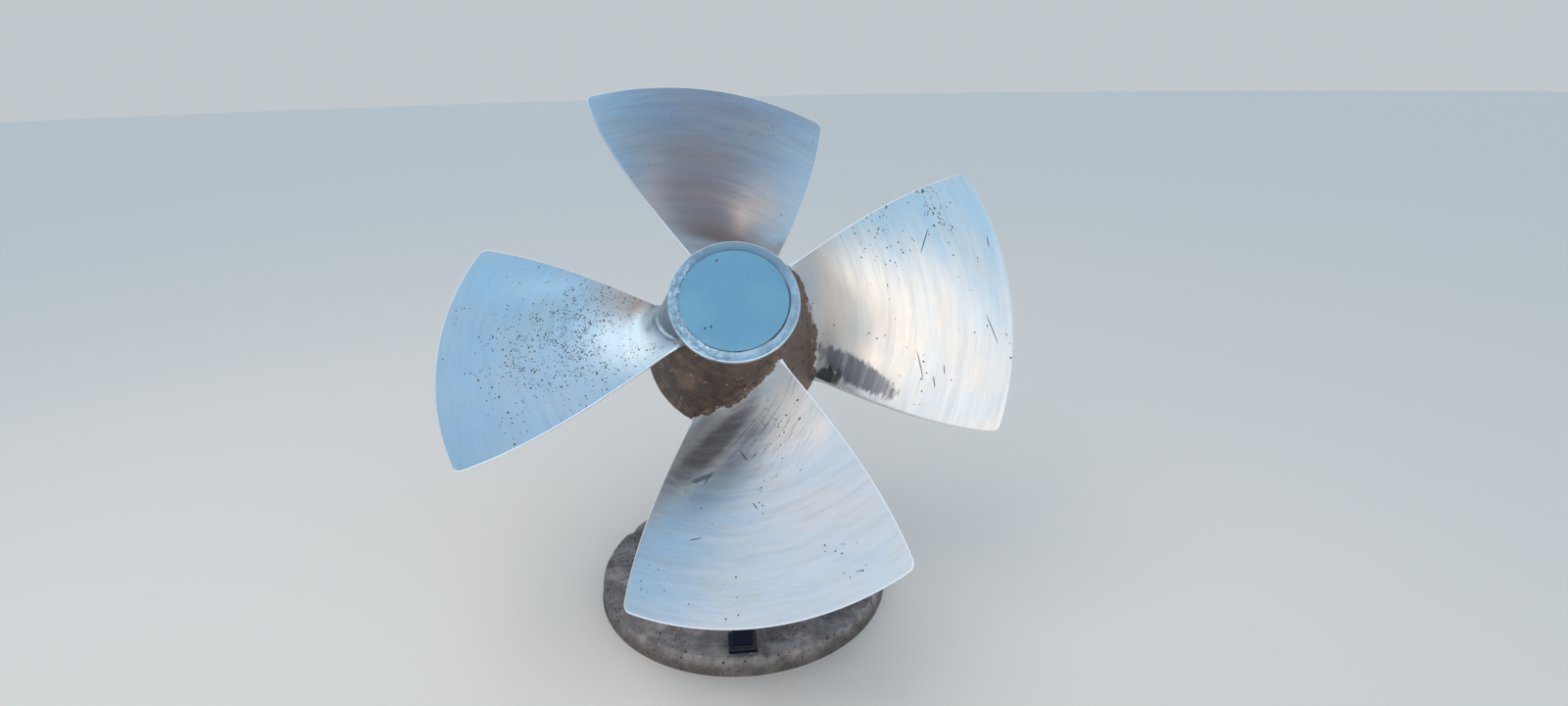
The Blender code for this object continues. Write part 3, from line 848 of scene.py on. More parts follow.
# Long thin scratches: blade, middle, half length, turn in degrees
SCRATCHES = (
    (RIGHT_BLADE, (0.153, 0.513), 0.036, 35.0),
    (RIGHT_BLADE, (-0.070, 0.645), 0.041, -21.0),
    (RIGHT_BLADE, (-0.135, 0.471), 0.039, -22.0),
    (RIGHT_BLADE, (-0.180, 0.513), 0.016, -21.0),
    (RIGHT_BLADE, (-0.154, 0.532), 0.013, -14.0),
    (RIGHT_BLADE, (0.144, 0.673), 0.015, 9.0),
    (LOWER_BLADE, (-0.013, 0.324), 0.017, 64.0),
    (LOWER_BLADE, (0.000, 0.442), 0.010, 58.0),
    (LOWER_BLADE, (-0.142, 0.511), 0.016, -17.0),
    (LOWER_BLADE, (-0.100, 0.370), 0.020, -53.0),
)
SCRATCH_HALF_WIDTH = 0.0013

# Where corrosion pits lie, most of them in the left blade's middle: blade, middle, spread, density
PIT_FIELDS = (
    (LEFT_BLADE, (-0.030, 0.385), (0.150, 0.085), 0.82),
    (LEFT_BLADE, (0.050, 0.510), (0.130, 0.070), 0.42),
    (LEFT_BLADE, (0.067, 0.219), (0.030, 0.030), 0.55),
    (LOWER_BLADE, (0.045, 0.285), (0.060, 0.050), 0.12),
    (RIGHT_BLADE, (0.245, 0.570), (0.070, 0.028), 0.60),
    (RIGHT_BLADE, (0.190, 0.410), (0.070, 0.060), 0.16),
)

# Left blade's part that is rubbed dull, and the top blade's dirty edge: middle, spread
RUBBED = ((-0.060, 0.400), (0.150, 0.055))
DIRTY_EDGE = ((0.240, 0.520), (0.120, 0.300))

# Sector of the hub's front beside the left blade that is ground too: middle, half, soft, in degrees
GROUND_SECTOR = (180.0, 42.0, 6.0)

# Lengths in metres: the ragged end of the cast skin beside a blade, and half the width of its line
SKIN_END = (0.006, 0.018)
SKIN_LINE = 0.0008
# Where painted shade greys the ground corner at the left blade's root: out from the hub, up across the
# hub's front, and in the fillet
ROOT_SHADE_REACH = (0.050, 0.020)
ROOT_SHADE_HEIGHT = (-0.055, 0.005)
ROOT_SHADE_FILLET = (0.008, 0.001)
# Inset from a blade's outline over which its worn edge and the painted highlight on it fade
WORN_HIGHLIGHT_INSET = (0.0042, 0.0020)
# Across the hub, from its left side darkened by painted shade to its right side paled by a painted sheen
SKIN_SHADE_AND_SHEEN = (-0.12, 0.15)
# Ring of nicks in the hub's skin beside a blade: its middle and the fade of its edges
NICK_REACH = 0.011
NICK_FADE = (0.006, 0.002)
# Heights of the casting's reliefs
FINE_RELIEF = 0.00002
BAND_RELIEF = 0.0007
PIT_DEPTH = 0.0006
LUMP_RELIEF = 0.0022
SKIN_STEP = 0.0008


def unground_skin(finish):
    """Give 1 on the hub's skin, up to the ragged line where the grinding stops."""
    ragged_line = finish.span(finish.grain(finish.shaft, 34.0, 3.0, 0.6), 0.30, 0.70, *SKIN_END)
    return finish.span(finish.less(finish.reach, ragged_line), SKIN_LINE, -SKIN_LINE)


def sector(finish, shaft, middle, half, soft, shift=0.0):
    """Give 1 in a sector round the shaft's line; the angles are in degrees."""
    flat = finish.vector("NORMALIZE", finish.stretched(shaft, (1.0, 1.0, 0.0)))
    angle = math.radians(middle)
    ray = (math.cos(angle), math.sin(angle), 0.0)
    facing = finish.vector("DOT_PRODUCT", flat, ray, "Value")
    low, high = math.cos(math.radians(half + soft)), math.cos(math.radians(half - soft))
    return finish.span(finish.plus(facing, shift), low, high)


def ground_corner(finish):
    """Give 1 on the part of the hub's front that is ground with the left blade's root."""
    feathered = finish.span(finish.grain(finish.shaft, 48.0, 5.0, 0.7), 0.3, 0.7, -0.07, 0.07)
    return finish.times(sector(finish, finish.shaft, *GROUND_SECTOR, feathered), finish.front)


def pitted_mask(finish):
    """Give the corrosion pits: those of the fields, and a few scattered everywhere."""
    field = 0.0
    for blade, middle, spread, density in PIT_FIELDS:
        field = finish.most(field, finish.times(patch(finish, blade, middle, spread), density))
    clumps = finish.span(finish.grain(finish.shaft, 26.0, 3.0, 0.6), 0.40, 0.60, 0.12, 1.0)
    presence = finish.times(finish.times(field, clumps), finish.front)
    slanted = finish.slanted(finish.mark, 35.0, (1.0, 1.7, 1.0))
    large = pits(finish, slanted, 84.0, 0.29, presence, "2D")
    small = pits(finish, slanted, 135.0, 0.32, presence, "2D")
    sparse = finish.span(finish.grain(finish.shaft, 9.0, 3.0, 0.6), 0.54, 0.68, 0.004, 0.16)
    rare = pits(finish, finish.shaft, 150.0, 0.33, finish.times(sparse, finish.front))
    return finish.most(finish.most(large, small), rare)


def ragged(finish, mask, roughness, low, high):
    """Break a soft mask's edge into streaks that run across the blade."""
    drips = finish.streaks(finish.mark, (30.0, 80.0, 5.0), 4.0, 0.6)
    broken = finish.plus(mask, finish.span(drips, 0.25, 0.75, -roughness, roughness, smooth=False))
    return finish.span(broken, low, high)


def cross_brushed(finish):
    """Give the dark and the pale strokes that cross the lower blade's root."""
    middle, spread, turn = CROSS_BRUSHED
    area = finish.times(patch(finish, LOWER_BLADE, middle, spread), finish.front)
    strokes = finish.streaks(finish.slanted(finish.mark, -turn), (14.0, 130.0, 5.0), 5.0, 0.7)
    dark = finish.times(finish.span(strokes, 0.53, 0.64), finish.times(area, 0.62))
    pale = finish.times(finish.span(strokes, 0.47, 0.36), finish.times(area, 0.55))
    return dark, pale


def scratched(finish):
    """Give the long thin scratches."""
    marks = 0.0
    for blade, middle, half_length, turn in SCRATCHES:
        line = patch(finish, blade, middle, (half_length, SCRATCH_HALF_WIDTH), turn)
        marks = finish.most(marks, finish.span(line, 0.25, 0.50))
    return finish.times(marks, finish.front)


def ground_metal(finish, metal):
    """Give the colour of the ground blades: dull streaks, painted reflections, strokes and painted dark
    reflections.
    """
    cloud = finish.streaks(finish.mark, (7.0, 9.0, 2.0), 4.0, 0.55)
    bluer, warmer = toned(metal, (0.94, 0.99, 1.03)), toned(metal, (1.03, 0.99, 0.95))
    colour = finish.mix(finish.span(cloud, 0.35, 0.65), bluer, warmer)
    colour = finish.coat(colour, finish.span(finish.streak, 0.45, 0.80), 0.16, (0.30, 0.30, 0.30))
    haze = finish.span(finish.streaks(finish.mark, (14.0, 75.0, 5.0), 5.0, 0.65), 0.46, 0.66)
    rubbed = finish.span(patch(finish, LEFT_BLADE, *RUBBED), 0.0, 1.0, 0.10, 0.48)
    colour = finish.coat(colour, haze, rubbed, (0.26, 0.27, 0.28))
    # Soft painted reflections, bright and dark, on the blades
    for blade, middle, spread, turn, share, tint in PAINTED_REFLECTIONS:
        soft = finish.times(patch(finish, blade, middle, spread, turn), finish.front)
        colour = finish.coat(colour, soft, share, tint)
    dark_strokes, pale_strokes = cross_brushed(finish)
    colour = finish.mix(pale_strokes, colour, (0.98, 0.88, 0.78))
    colour = finish.mix(dark_strokes, colour, (0.16, 0.135, 0.120))
    # Painted dark reflections with a broken, streaked edge
    for blade, middle, spread, turn, roughness, low, high, share, tint in PAINTED_DARK_REFLECTIONS:
        stain = ragged(finish, patch(finish, blade, middle, spread, turn), roughness, low, high)
        gaps = finish.span(finish.streak, 0.42, 0.66, share, share * 0.72)
        colour = finish.coat(colour, finish.times(stain, finish.front), gaps, tint)
    return colour


def shaded_root_corner(finish, corner):
    """Give where painted shade greys the hub's ground corner beside the left blade's root, and its
    colour.
    """
    up = finish.split(finish.shaft)[1]
    near = finish.times(finish.span(finish.reach, *ROOT_SHADE_REACH), finish.span(up, *ROOT_SHADE_HEIGHT))
    near = finish.most(near, finish.span(finish.reach, *ROOT_SHADE_FILLET))
    strokes = finish.span(finish.streaks(finish.shaft, (60.0, 24.0, 24.0), 4.0, 0.6), 0.35, 0.65)
    return finish.times(corner, near), finish.mix(strokes, (0.26, 0.295, 0.325), (0.46, 0.49, 0.52))


def worn_edges_and_highlight(finish):
    """Give the blades' rounded edges, worn bright and lit with a painted highlight, dull along the top
    blade's dirty one.
    """
    dirty = finish.span(patch(finish, TOP_BLADE, *DIRTY_EDGE), 0.2, 0.8, 1.0, 0.25)
    return finish.times(finish.span(finish.outline, *WORN_HIGHLIGHT_INSET), dirty)


def cast_skin(finish, skin):
    """Give the colour of the hub's skin, with painted shade to the left and a painted sheen to the right,
    and nicked beside the blades.
    """
    # Painted shade on the hub's left side and a paler, bluer painted sheen on its right
    across = finish.span(finish.split(finish.shaft)[0], *SKIN_SHADE_AND_SHEEN)
    colour = finish.mix(across, toned(skin, (0.74, 0.76, 0.78)), toned(skin, (1.85, 2.05, 2.3)))
    mottle = finish.span(finish.grain(finish.shaft, 22.0, 6.0, 0.65), 0.40, 0.72)
    colour = finish.mix(mottle, colour, toned(skin, (2.1, 2.0, 1.9)))
    specks = finish.span(finish.grain(finish.shaft, 55.0, 5.0, 0.7), 0.52, 0.70)
    colour = finish.mix(specks, colour, toned(skin, (0.35, 0.35, 0.40)))
    from_ring = finish.math("ABSOLUTE", finish.less(finish.reach, NICK_REACH))
    edge = finish.span(from_ring, *NICK_FADE)
    nicks = pits(finish, finish.shaft, 120.0, 0.28, finish.plus(0.08, finish.times(edge, 0.30)))
    return finish.mix(nicks, colour, (0.62, 0.57, 0.52))


def casting_material(scene):
    """Make the casting's finish: ground blades and a rough brown hub."""
    colours = scene.finish_colours
    finish = CastingFinish()
    skin_mask = unground_skin(finish)
    corner = ground_corner(finish)
    rough_hub = finish.times(skin_mask, finish.less(1.0, corner))
    root_shade, root_shade_grey = shaded_root_corner(finish, corner)
    worn = worn_edges_and_highlight(finish)
    bare = finish.less(1.0, finish.most(skin_mask, worn))
    pitted = finish.times(pitted_mask(finish), bare)

    # Painted shade greys the fillet at the left blade's root
    ground = finish.coat(ground_metal(finish, colours.blade), root_shade, 0.85, root_shade_grey)
    # Worn edges, brightened further by a painted highlight
    ground = finish.mix(worn, ground, (0.92, 0.93, 0.95))
    ground = finish.coat(ground, scratched(finish), 0.85, (0.05, 0.05, 0.06))
    ground = finish.coat(ground, pitted, 0.96, (0.012, 0.014, 0.016))
    colour = finish.mix(rough_hub, ground, cast_skin(finish, colours.hub))

    # Grinding marks run round the shaft line, across each blade
    fine = finish.streaks(finish.mark, (4.0, 260.0, 9.0), 4.0, 0.6)
    band = finish.streaks(finish.mark, (2.2, 24.0, 3.0), 2.5, 0.5)
    shine = finish.blend(finish.span(finish.streak, 0.3, 0.7), 0.19, 0.27)
    shine = finish.plus(shine, finish.span(band, 0.3, 0.7, -0.02, 0.04))
    shine = finish.plus(finish.blend(root_shade, shine, 0.50), finish.times(pitted, 0.5))
    shine = finish.blend(rough_hub, shine, 0.52)
    metallic = finish.blend(pitted, finish.blend(worn, 1.0, 0.45), 0.1)
    metallic = finish.blend(rough_hub, metallic, 0.45)
    lumps = finish.times(finish.grain(finish.shaft, 120.0, 5.0, 0.65), rough_hub)
    relief = finish.relief(
        (fine, FINE_RELIEF), (band, BAND_RELIEF), (finish.less(1.0, pitted), PIT_DEPTH),
        (lumps, LUMP_RELIEF), (rough_hub, SKIN_STEP),
    )
    finish.surface(Base_Color=colour, Roughness=shine, Metallic=metallic, Normal=relief)
    return finish.material


# The cover and the bare plaque

COVER_STEPS = 192
COVER_EDGE = 0.003
COVER_BACK_EDGE = 0.001
COVER_DISH = 0.0008
COVER_WAVE = 0.00025
DISH_STEPS = 9
GROOVE_WIDTH = 0.0026
GROOVE_DEPTH = 0.0007
GROOVE_SLOPE = 0.0005
PLAQUE_EDGE = 0.0006
CHIPS = ((-0.035, 0.100), (-0.069, -0.067), (-0.055, -0.064))
CHIP_RADIUS = 0.0020
CHIP_SQUASH = 0.6
# Width of the painted shadow and dirt outside the groove's inner edge, least and most, and the fade of
# its edge
GROOVE_SHADOW_WIDTH = (0.0008, GROOVE_WIDTH * 1.6)
GROOVE_SHADOW_FADE = (0.0006, -0.0004)
# Sectors of the cover: middle, half, soft, in degrees
LOWER_GROOVE_SHADOW = (-42.0, 78.0, 16.0)
UPPER_GROOVE_SHADOW = (118.0, 24.0, 10.0)
RUBBED_SIDE = (196.0, 62.0, 22.0)
# Inset over which the painted highlight on the worn rim fades, and height on the cover over which painted
# shade darkens its upper part
WORN_RIM_HIGHLIGHT = (0.0040, 0.0015)
SHADED_TOP = (0.02, 0.11)
SWIRL_RELIEF = 0.00025
BRUSH_RELIEF = 0.00006
COVER_LUMPS = 0.0009
PLAQUE_GRAIN = 0.00004
PLAQUE_LUMPS = 0.0012


def cover_outline(radius, plaque_radius):
    """List the outline of the cover from its back's middle to its front's middle."""
    back = HUB_FRONT_LENGTH + CLEARANCE
    face = back + COVER_THICKNESS
    outline = [(0.0, back), (radius * 0.5, back)]
    rear = (radius - COVER_BACK_EDGE, back + COVER_BACK_EDGE)
    outline += arc(rear, COVER_BACK_EDGE, -QUARTER_TURN, 0.0, 3)
    rim = (radius - COVER_EDGE, face - COVER_EDGE)
    outline += arc(rim, COVER_EDGE, 0.0, QUARTER_TURN, 6)
    groove = plaque_radius + GROOVE_WIDTH
    for step in range(1, DISH_STEPS):
        share = step / DISH_STEPS
        band = radius - COVER_EDGE + (groove - radius + COVER_EDGE) * share
        outline.append((band, face - COVER_DISH * math.sin(math.pi * share)))
    floor = face - GROOVE_DEPTH
    outline += [(groove, face), (groove - GROOVE_SLOPE, floor), (plaque_radius - GROOVE_SLOPE, floor)]
    outline += [(plaque_radius - 2.0 * GROOVE_SLOPE, face), (plaque_radius * 0.6, face), (0.0, face)]
    return outline


def plaque_outline(radius):
    """List the outline of the plaque from its back's middle to its front's middle."""
    back = HUB_FRONT_LENGTH + CLEARANCE + COVER_THICKNESS + CLEARANCE
    face = back + PLAQUE_THICKNESS
    outline = [(0.0, back), (radius * 0.5, back), (radius, back)]
    edge = (radius - PLAQUE_EDGE, face - PLAQUE_EDGE)
    outline += arc(edge, PLAQUE_EDGE, 0.0, QUARTER_TURN, 4)
    outline += [(radius * share, face) for share in (0.85, 0.7, 0.55, 0.4, 0.25, 0.1, 0.0)]
    return outline


def ripple(bm, height, scale, low, high):
    """Move the front face's points between two radii by a shallow wave, inwards only."""
    for vert in bm.verts:
        radius = math.hypot(vert.co.x, vert.co.y)
        if low < radius < high and vert.normal.z > 0.5:
            vert.co.z -= height * (0.5 + 0.5 * noise.noise(vert.co * scale))


def groove_shadow_and_dirt(finish, shaft, flat, radius):
    """Give the painted shadow and dirt outside the plaque, a ring whose width changes and that fades in
    two gaps.
    """
    width = finish.span(finish.grain(flat, 13.0, 2.0, 0.5), 0.42, 0.60, *GROOVE_SHADOW_WIDTH)
    beside = finish.less(radius, box_size("plaque").x / 2.0)
    ring = finish.span(finish.less(beside, width), *GROOVE_SHADOW_FADE)
    held = finish.most(sector(finish, shaft, *LOWER_GROOVE_SHADOW), sector(finish, shaft, *UPPER_GROOVE_SHADOW))
    return finish.times(ring, finish.span(held, 0.0, 1.0, 0.30, 1.0))


def cover_material(scene):
    """Make the brushed steel of the cover, with painted shade on its upper part, a painted highlight on
    its worn rim and painted shadow with dirt round the plaque.
    """
    steel = scene.finish_colours.cover
    finish = Finish("brushed_cover")
    shaft = finish.shaft_place()
    x, y, _ = finish.split(shaft)
    flat = finish.stretched(shaft, (1.0, 1.0, 0.0))
    radius = finish.vector("LENGTH", flat, output="Value")
    polar = finish.node("CombineXYZ", X=finish.math("ARCTAN2", y, x), Y=radius).outputs[0]
    cloud = finish.grain(shaft, 22.0, 5.0, 0.6, 0.8)
    colour = finish.mix(finish.span(cloud, 0.38, 0.66), steel, toned(steel, (1.45, 1.42, 1.38)))
    stain = finish.span(finish.grain(shaft, 34.0, 6.0, 0.7), 0.60, 0.74)
    colour = finish.coat(colour, stain, 0.6, (0.16, 0.16, 0.17))
    # Painted shade darkens the cover's upper part
    upper = finish.span(cloud, 0.30, 0.60, 0.2, 0.5)
    colour = finish.coat(colour, finish.span(y, *SHADED_TOP), upper, (0.14, 0.18, 0.21))
    # Painted highlight on the cover's worn rim
    rim = finish.less(box_size("front_cover").x / 2.0, radius)
    colour = finish.mix(finish.span(rim, *WORN_RIM_HIGHLIGHT), colour, (0.86, 0.89, 0.92))
    # Painted shadow and dirt in the groove round the plaque, held in a lower and an upper sector
    dirt = groove_shadow_and_dirt(finish, shaft, flat, radius)
    colour = finish.coat(colour, dirt, 0.88, (0.045, 0.050, 0.058))
    rubs = finish.streaks(polar, (9.0, 120.0, 1.0), 5.0, 0.7, 0.6)
    left = sector(finish, shaft, *RUBBED_SIDE)
    pale = finish.times(finish.span(rubs, 0.50, 0.60), left)
    colour = finish.coat(colour, pale, 0.80, (0.80, 0.86, 0.90))
    grey = finish.times(finish.span(rubs, 0.46, 0.36), finish.span(left, 0.0, 1.0, 0.35, 1.0))
    colour = finish.coat(colour, grey, 0.55, (0.17, 0.20, 0.24))

    swirl = finish.streaks(polar, (5.0, 260.0, 1.0), 4.0, 0.6)
    fine = finish.streaks(shaft, (60.0, 700.0, 60.0), 2.0, 0.5)
    shine = finish.blend(swirl, 0.22, 0.44)
    metallic = finish.blend(dirt, 1.0, 0.2)
    relief = finish.relief((swirl, SWIRL_RELIEF), (fine, BRUSH_RELIEF), (cloud, COVER_LUMPS))
    finish.surface(Base_Color=colour, Roughness=shine, Metallic=metallic, Normal=relief)
    return finish.material


def plaque_material(scene):
    """Make the pale blue sheet of the plaque, with a few chips."""
    sheet = scene.finish_colours.plaque
    finish = Finish("plaque_sheet")
    shaft = finish.shaft_place()
    cloud = finish.span(finish.grain(shaft, 9.0, 4.0, 0.5), 0.35, 0.65)
    colour = finish.mix(cloud, sheet, toned(sheet, (1.18, 1.10, 1.05)))
    squashed = finish.stretched(shaft, (1.0, CHIP_SQUASH, 0.0))
    for x, y in CHIPS:
        away = finish.vector("DISTANCE", squashed, (x, y * CHIP_SQUASH, 0.0), "Value")
        chip = finish.span(away, CHIP_RADIUS * 1.2, CHIP_RADIUS * 0.8)
        colour = finish.mix(chip, colour, (0.020, 0.022, 0.026))
    shine = finish.span(finish.grain(shaft, 40.0, 5.0, 0.6), 0.3, 0.7, 0.30, 0.42)
    fine, broad = finish.grain(shaft, 180.0, 3.0, 0.5), finish.grain(shaft, 6.0, 2.0, 0.5)
    relief = finish.relief((fine, PLAQUE_GRAIN), (broad, PLAQUE_LUMPS))
    finish.surface(Base_Color=colour, Roughness=shine, Metallic=0.35, Normal=relief)
    finish.surface(Coat_Weight=0.25, Coat_Roughness=0.12)
    return finish.material


class PROPELLER_OT_front(bpy.types.Operator):
    """Model the cover on the hub's front and the bare plaque on it"""

    bl_idname = "propeller.front"
    bl_label = "Cover and Plaque"

    def execute(self, context):
        cover_radius = box_size("front_cover").x / 2.0
        plaque_radius = box_size("plaque").x / 2.0
        bm = turned(cover_outline(cover_radius, plaque_radius), COVER_STEPS)
        bm.normal_update()
        ripple(bm, COVER_WAVE, 30.0, plaque_radius + GROOVE_WIDTH, cover_radius - COVER_EDGE)
        cover = mesh_object("cover_disc", bm, SHAFT)
        finish_piece(cover, cover_material(context.scene))
        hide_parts("front_cover")
        sheet = mesh_object("bare_plaque", turned(plaque_outline(plaque_radius), COVER_STEPS), SHAFT)
        finish_piece(sheet, plaque_material(context.scene))
        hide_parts("plaque")
        return {"FINISHED"}


# The stand

PAINTED_NODES = (
    "head_plate", "hub_spigot", "head_gusset_front", "head_gusset_rear", "main_post",
    "base_plate", "base_gusset_front", "base_gusset_rear", "base_gusset_left",
    "base_gusset_right", "front_strut", "strut_foot", "strut_saddle",
)
# Heights above the ground between which dust thickens on faces that look up
DUST_HEIGHT = (0.13, 0.075)
PAINT_GRAIN = 0.00012
RUST_RELIEF = 0.0005
RUBBER_GRAIN = 0.0002


def paint_material(scene):
    """Make the stand's blue-black paint, dusty low down and worn to rust in places."""
    paint = scene.finish_colours.paint
    finish = Finish("stand_paint")
    place = finish.place()
    height = finish.split(place)[2]
    facing_up = finish.split(finish.node("NewGeometry").outputs["Normal"])[2]
    cloud = finish.span(finish.grain(place, 14.0, 5.0, 0.6), 0.4, 0.7)
    colour = finish.mix(cloud, paint, toned(paint, (2.4, 2.2, 1.9)))
    rust = finish.span(finish.grain(place, 26.0, 8.0, 0.72), 0.63, 0.70)
    colour = finish.coat(colour, rust, 0.8, (0.115, 0.045, 0.020))
    low = finish.times(finish.span(height, *DUST_HEIGHT), finish.span(facing_up, 0.4, 0.9))
    dust = finish.times(low, finish.span(finish.grain(place, 9.0, 6.0, 0.65), 0.35, 0.70))
    colour = finish.coat(colour, dust, 0.5, (0.17, 0.145, 0.120))
    shine = finish.span(finish.grain(place, 60.0, 4.0, 0.6), 0.3, 0.7, 0.42, 0.58)
    shine = finish.plus(shine, finish.times(finish.most(rust, dust), 0.35))
    grain = finish.grain(place, 420.0, 2.0, 0.5)
    relief = finish.relief((grain, PAINT_GRAIN), (rust, RUST_RELIEF))
    finish.surface(Base_Color=colour, Roughness=shine, Metallic=0.0, Normal=relief)
    finish.surface(Specular_IOR_Level=0.16)
    return finish.material


def rubber_material():
    """Make the pad's black rubber."""
    finish = Finish("pad_rubber")
    place = finish.place()
    cloud = finish.span(finish.grain(place, 30.0, 5.0, 0.6), 0.35, 0.7)
    colour = finish.mix(cloud, (0.014, 0.014, 0.014), (0.050, 0.047, 0.044))
    relief = finish.relief((finish.grain(place, 500.0, 3.0, 0.6), RUBBER_GRAIN))
    finish.surface(Base_Color=colour, Roughness=0.78, Metallic=0.0, Normal=relief)
    return finish.material


def dress_node(name, material):
    """Give a CAD node its finish."""
    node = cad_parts[name]
    if not node.material_slots:
        node.data.materials.append(material)
    for holder in node.material_slots:
        holder.material = material


class PROPELLER_OT_stand_finish(bpy.types.Operator):
    """Give the steel stand its paint and the pad its rubber"""

    bl_idname = "propeller.stand_finish"
    bl_label = "Stand Finish"

    def execute(self, context):
        paint = paint_material(context.scene)
        for name in PAINTED_NODES:
            dress_node(name, paint)
        dress_node("saddle_pad", rubber_material())
        return {"FINISHED"}


# Fasteners

HEX_ACROSS = 0.024
NUT_HEIGHT = 0.013
WASHER_RADIUS = 0.017
WASHER_THICKNESS = 0.003
STUD_RADIUS = 0.008
STUD_REST = 0.014
STUD_POINT = 0.001
STUD_STEPS = 24
STUD_INSET = 0.032
THREAD_PITCH = 0.002
HEAD_BOLT_RADIUS = 0.138
HEAD_BOLT_ANGLES = (-40.0, 0.0, 40.0, 140.0, 180.0, 220.0)
HEAD_HEIGHT = 0.010
HEX_CHAMFER = 0.0012
WASHER_CHAMFER = 0.0006
WASHER_SIDES = 36
HEX_SIDES = 6
# Most that the two ends of a level edge differ in height
LEVEL = 1e-6
# Turn of a nut in radians for each metre of its place, so that no two stand alike
NUT_TURN = (37.0, 91.0)
FASTENER_GRAIN = 0.0004


def add_disc(bm, bottom, height, radius, sides, chamfer):
    """Add a disc or a hexagon with chamfered ends, standing about Z."""
    made = bmesh.ops.create_cone(
        bm, cap_ends=True, segments=sides, radius1=radius, radius2=radius, depth=height,
    )
    verts = made["verts"]
    bmesh.ops.translate(bm, verts=verts, vec=(0.0, 0.0, bottom + height / 2.0))
    edges = {edge for vert in verts for edge in vert.link_edges}
    ends = [edge for edge in edges if abs(edge.verts[0].co.z - edge.verts[1].co.z) < LEVEL]
    bmesh.ops.bevel(
        bm, geom=ends, offset=chamfer, segments=2, profile=0.5,
        affect="EDGES", offset_type="OFFSET", material=-1,
    )


def add_stud(bm, bottom, height):
    """Add the threaded end of a stud, standing about Z."""
    turns = max(2, round(height / THREAD_PITCH))
    outline = [(0.0, bottom), (STUD_RADIUS, bottom)]
    for turn in range(turns):
        outline.append((STUD_RADIUS * 0.88, bottom + (turn + 0.5) * height / turns))
        outline.append((STUD_RADIUS, bottom + (turn + 1.0) * height / turns))
    top = bottom + height + STUD_POINT
    outline += [(STUD_RADIUS * 0.82, top), (0.0, top)]
    mesh = as_mesh("stud_part", turned(outline, STUD_STEPS))
    bm.from_mesh(mesh)
    bpy.data.meshes.remove(mesh)


def bolt_set(height):
    """Make a washer with a hexagon on it about Z, resting on z = 0."""
    bm = bmesh.new()
    add_disc(bm, CLEARANCE, WASHER_THICKNESS, WASHER_RADIUS, WASHER_SIDES, WASHER_CHAMFER)
    bottom = CLEARANCE + WASHER_THICKNESS + CLEARANCE
    add_disc(bm, bottom, height, HEX_ACROSS / math.sqrt(3.0), HEX_SIDES, HEX_CHAMFER)
    return bm


def nut_set():
    """Make a washer, nut and stud end about Z, resting on z = 0."""
    bm = bolt_set(NUT_HEIGHT)
    top = 2.0 * CLEARANCE + WASHER_THICKNESS + NUT_HEIGHT
    add_stud(bm, top - NUT_HEIGHT / 2.0, STUD_REST)
    return bm


def copies(source, places):
    """Join copies of a bmesh, each with its own place, and free the source."""
    mesh = as_mesh("copy_part", source)
    bm = bmesh.new()
    for place in places:
        before = len(bm.verts)
        bm.from_mesh(mesh)
        bm.verts.ensure_lookup_table()
        bmesh.ops.transform(bm, matrix=place, verts=bm.verts[before:])
    bpy.data.meshes.remove(mesh)
    return bm


def fastener_material():
    """Make galvanized steel that has begun to rust."""
    finish = Finish("rusty_fasteners")
    place = finish.place()
    rust = finish.span(finish.grain(place, 90.0, 6.0, 0.7), 0.42, 0.62)
    colour = finish.mix(rust, (0.33, 0.33, 0.34), (0.130, 0.055, 0.026))
    shine = finish.blend(rust, 0.38, 0.85)
    metallic = finish.blend(rust, 0.9, 0.1)
    relief = finish.relief((finish.grain(place, 300.0, 4.0, 0.6), FASTENER_GRAIN))
    finish.surface(Base_Color=colour, Roughness=shine, Metallic=metallic, Normal=relief)
    return finish.material


class PROPELLER_OT_fasteners(bpy.types.Operator):
    """Model the anchor nuts on the base plate and the bolts behind the hub"""

    bl_idname = "propeller.fasteners"
    bl_label = "Fasteners"

    def execute(self, context):
        steel = fastener_material()
        low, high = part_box("base_plate")
        places = []
        for x in (low.x + STUD_INSET, high.x - STUD_INSET):
            for y in (low.y + STUD_INSET, high.y - STUD_INSET):
                turn = Matrix.Rotation(NUT_TURN[0] * x + NUT_TURN[1] * y, 4, "Z")
                places.append(Matrix.Translation((x, y, high.z)) @ turn)
        nuts = mesh_object("anchor_nuts", copies(nut_set(), places))
        finish_piece(nuts, steel)
        plate_back = -HUB_REAR_LENGTH - CLEARANCE - HEAD_PLATE_THICKNESS
        out = Matrix.Translation((HEAD_BOLT_RADIUS, 0.0, plate_back))
        over = Matrix.Rotation(math.pi, 4, "X")
        places = [SHAFT @ Matrix.Rotation(math.radians(angle), 4, "Z") @ out @ over
                  for angle in HEAD_BOLT_ANGLES]
        bolts = mesh_object("head_bolts", copies(bolt_set(HEAD_HEIGHT), places))
        finish_piece(bolts, steel)
        return {"FINISHED"}


# Welds

WELD_RADIUS = 0.0035
WELD_STEP = 0.0022
WELD_RESOLUTION = 3


def bead_points(points):
    """List points along straight runs, one for each ripple of a weld bead."""
    placed = []
    for start, stop in zip(points, points[1:]):
        count = max(2, round((stop - start).length / WELD_STEP))
        placed += [start.lerp(stop, step / count) for step in range(count)]
    placed.append(points[-1])
    return placed


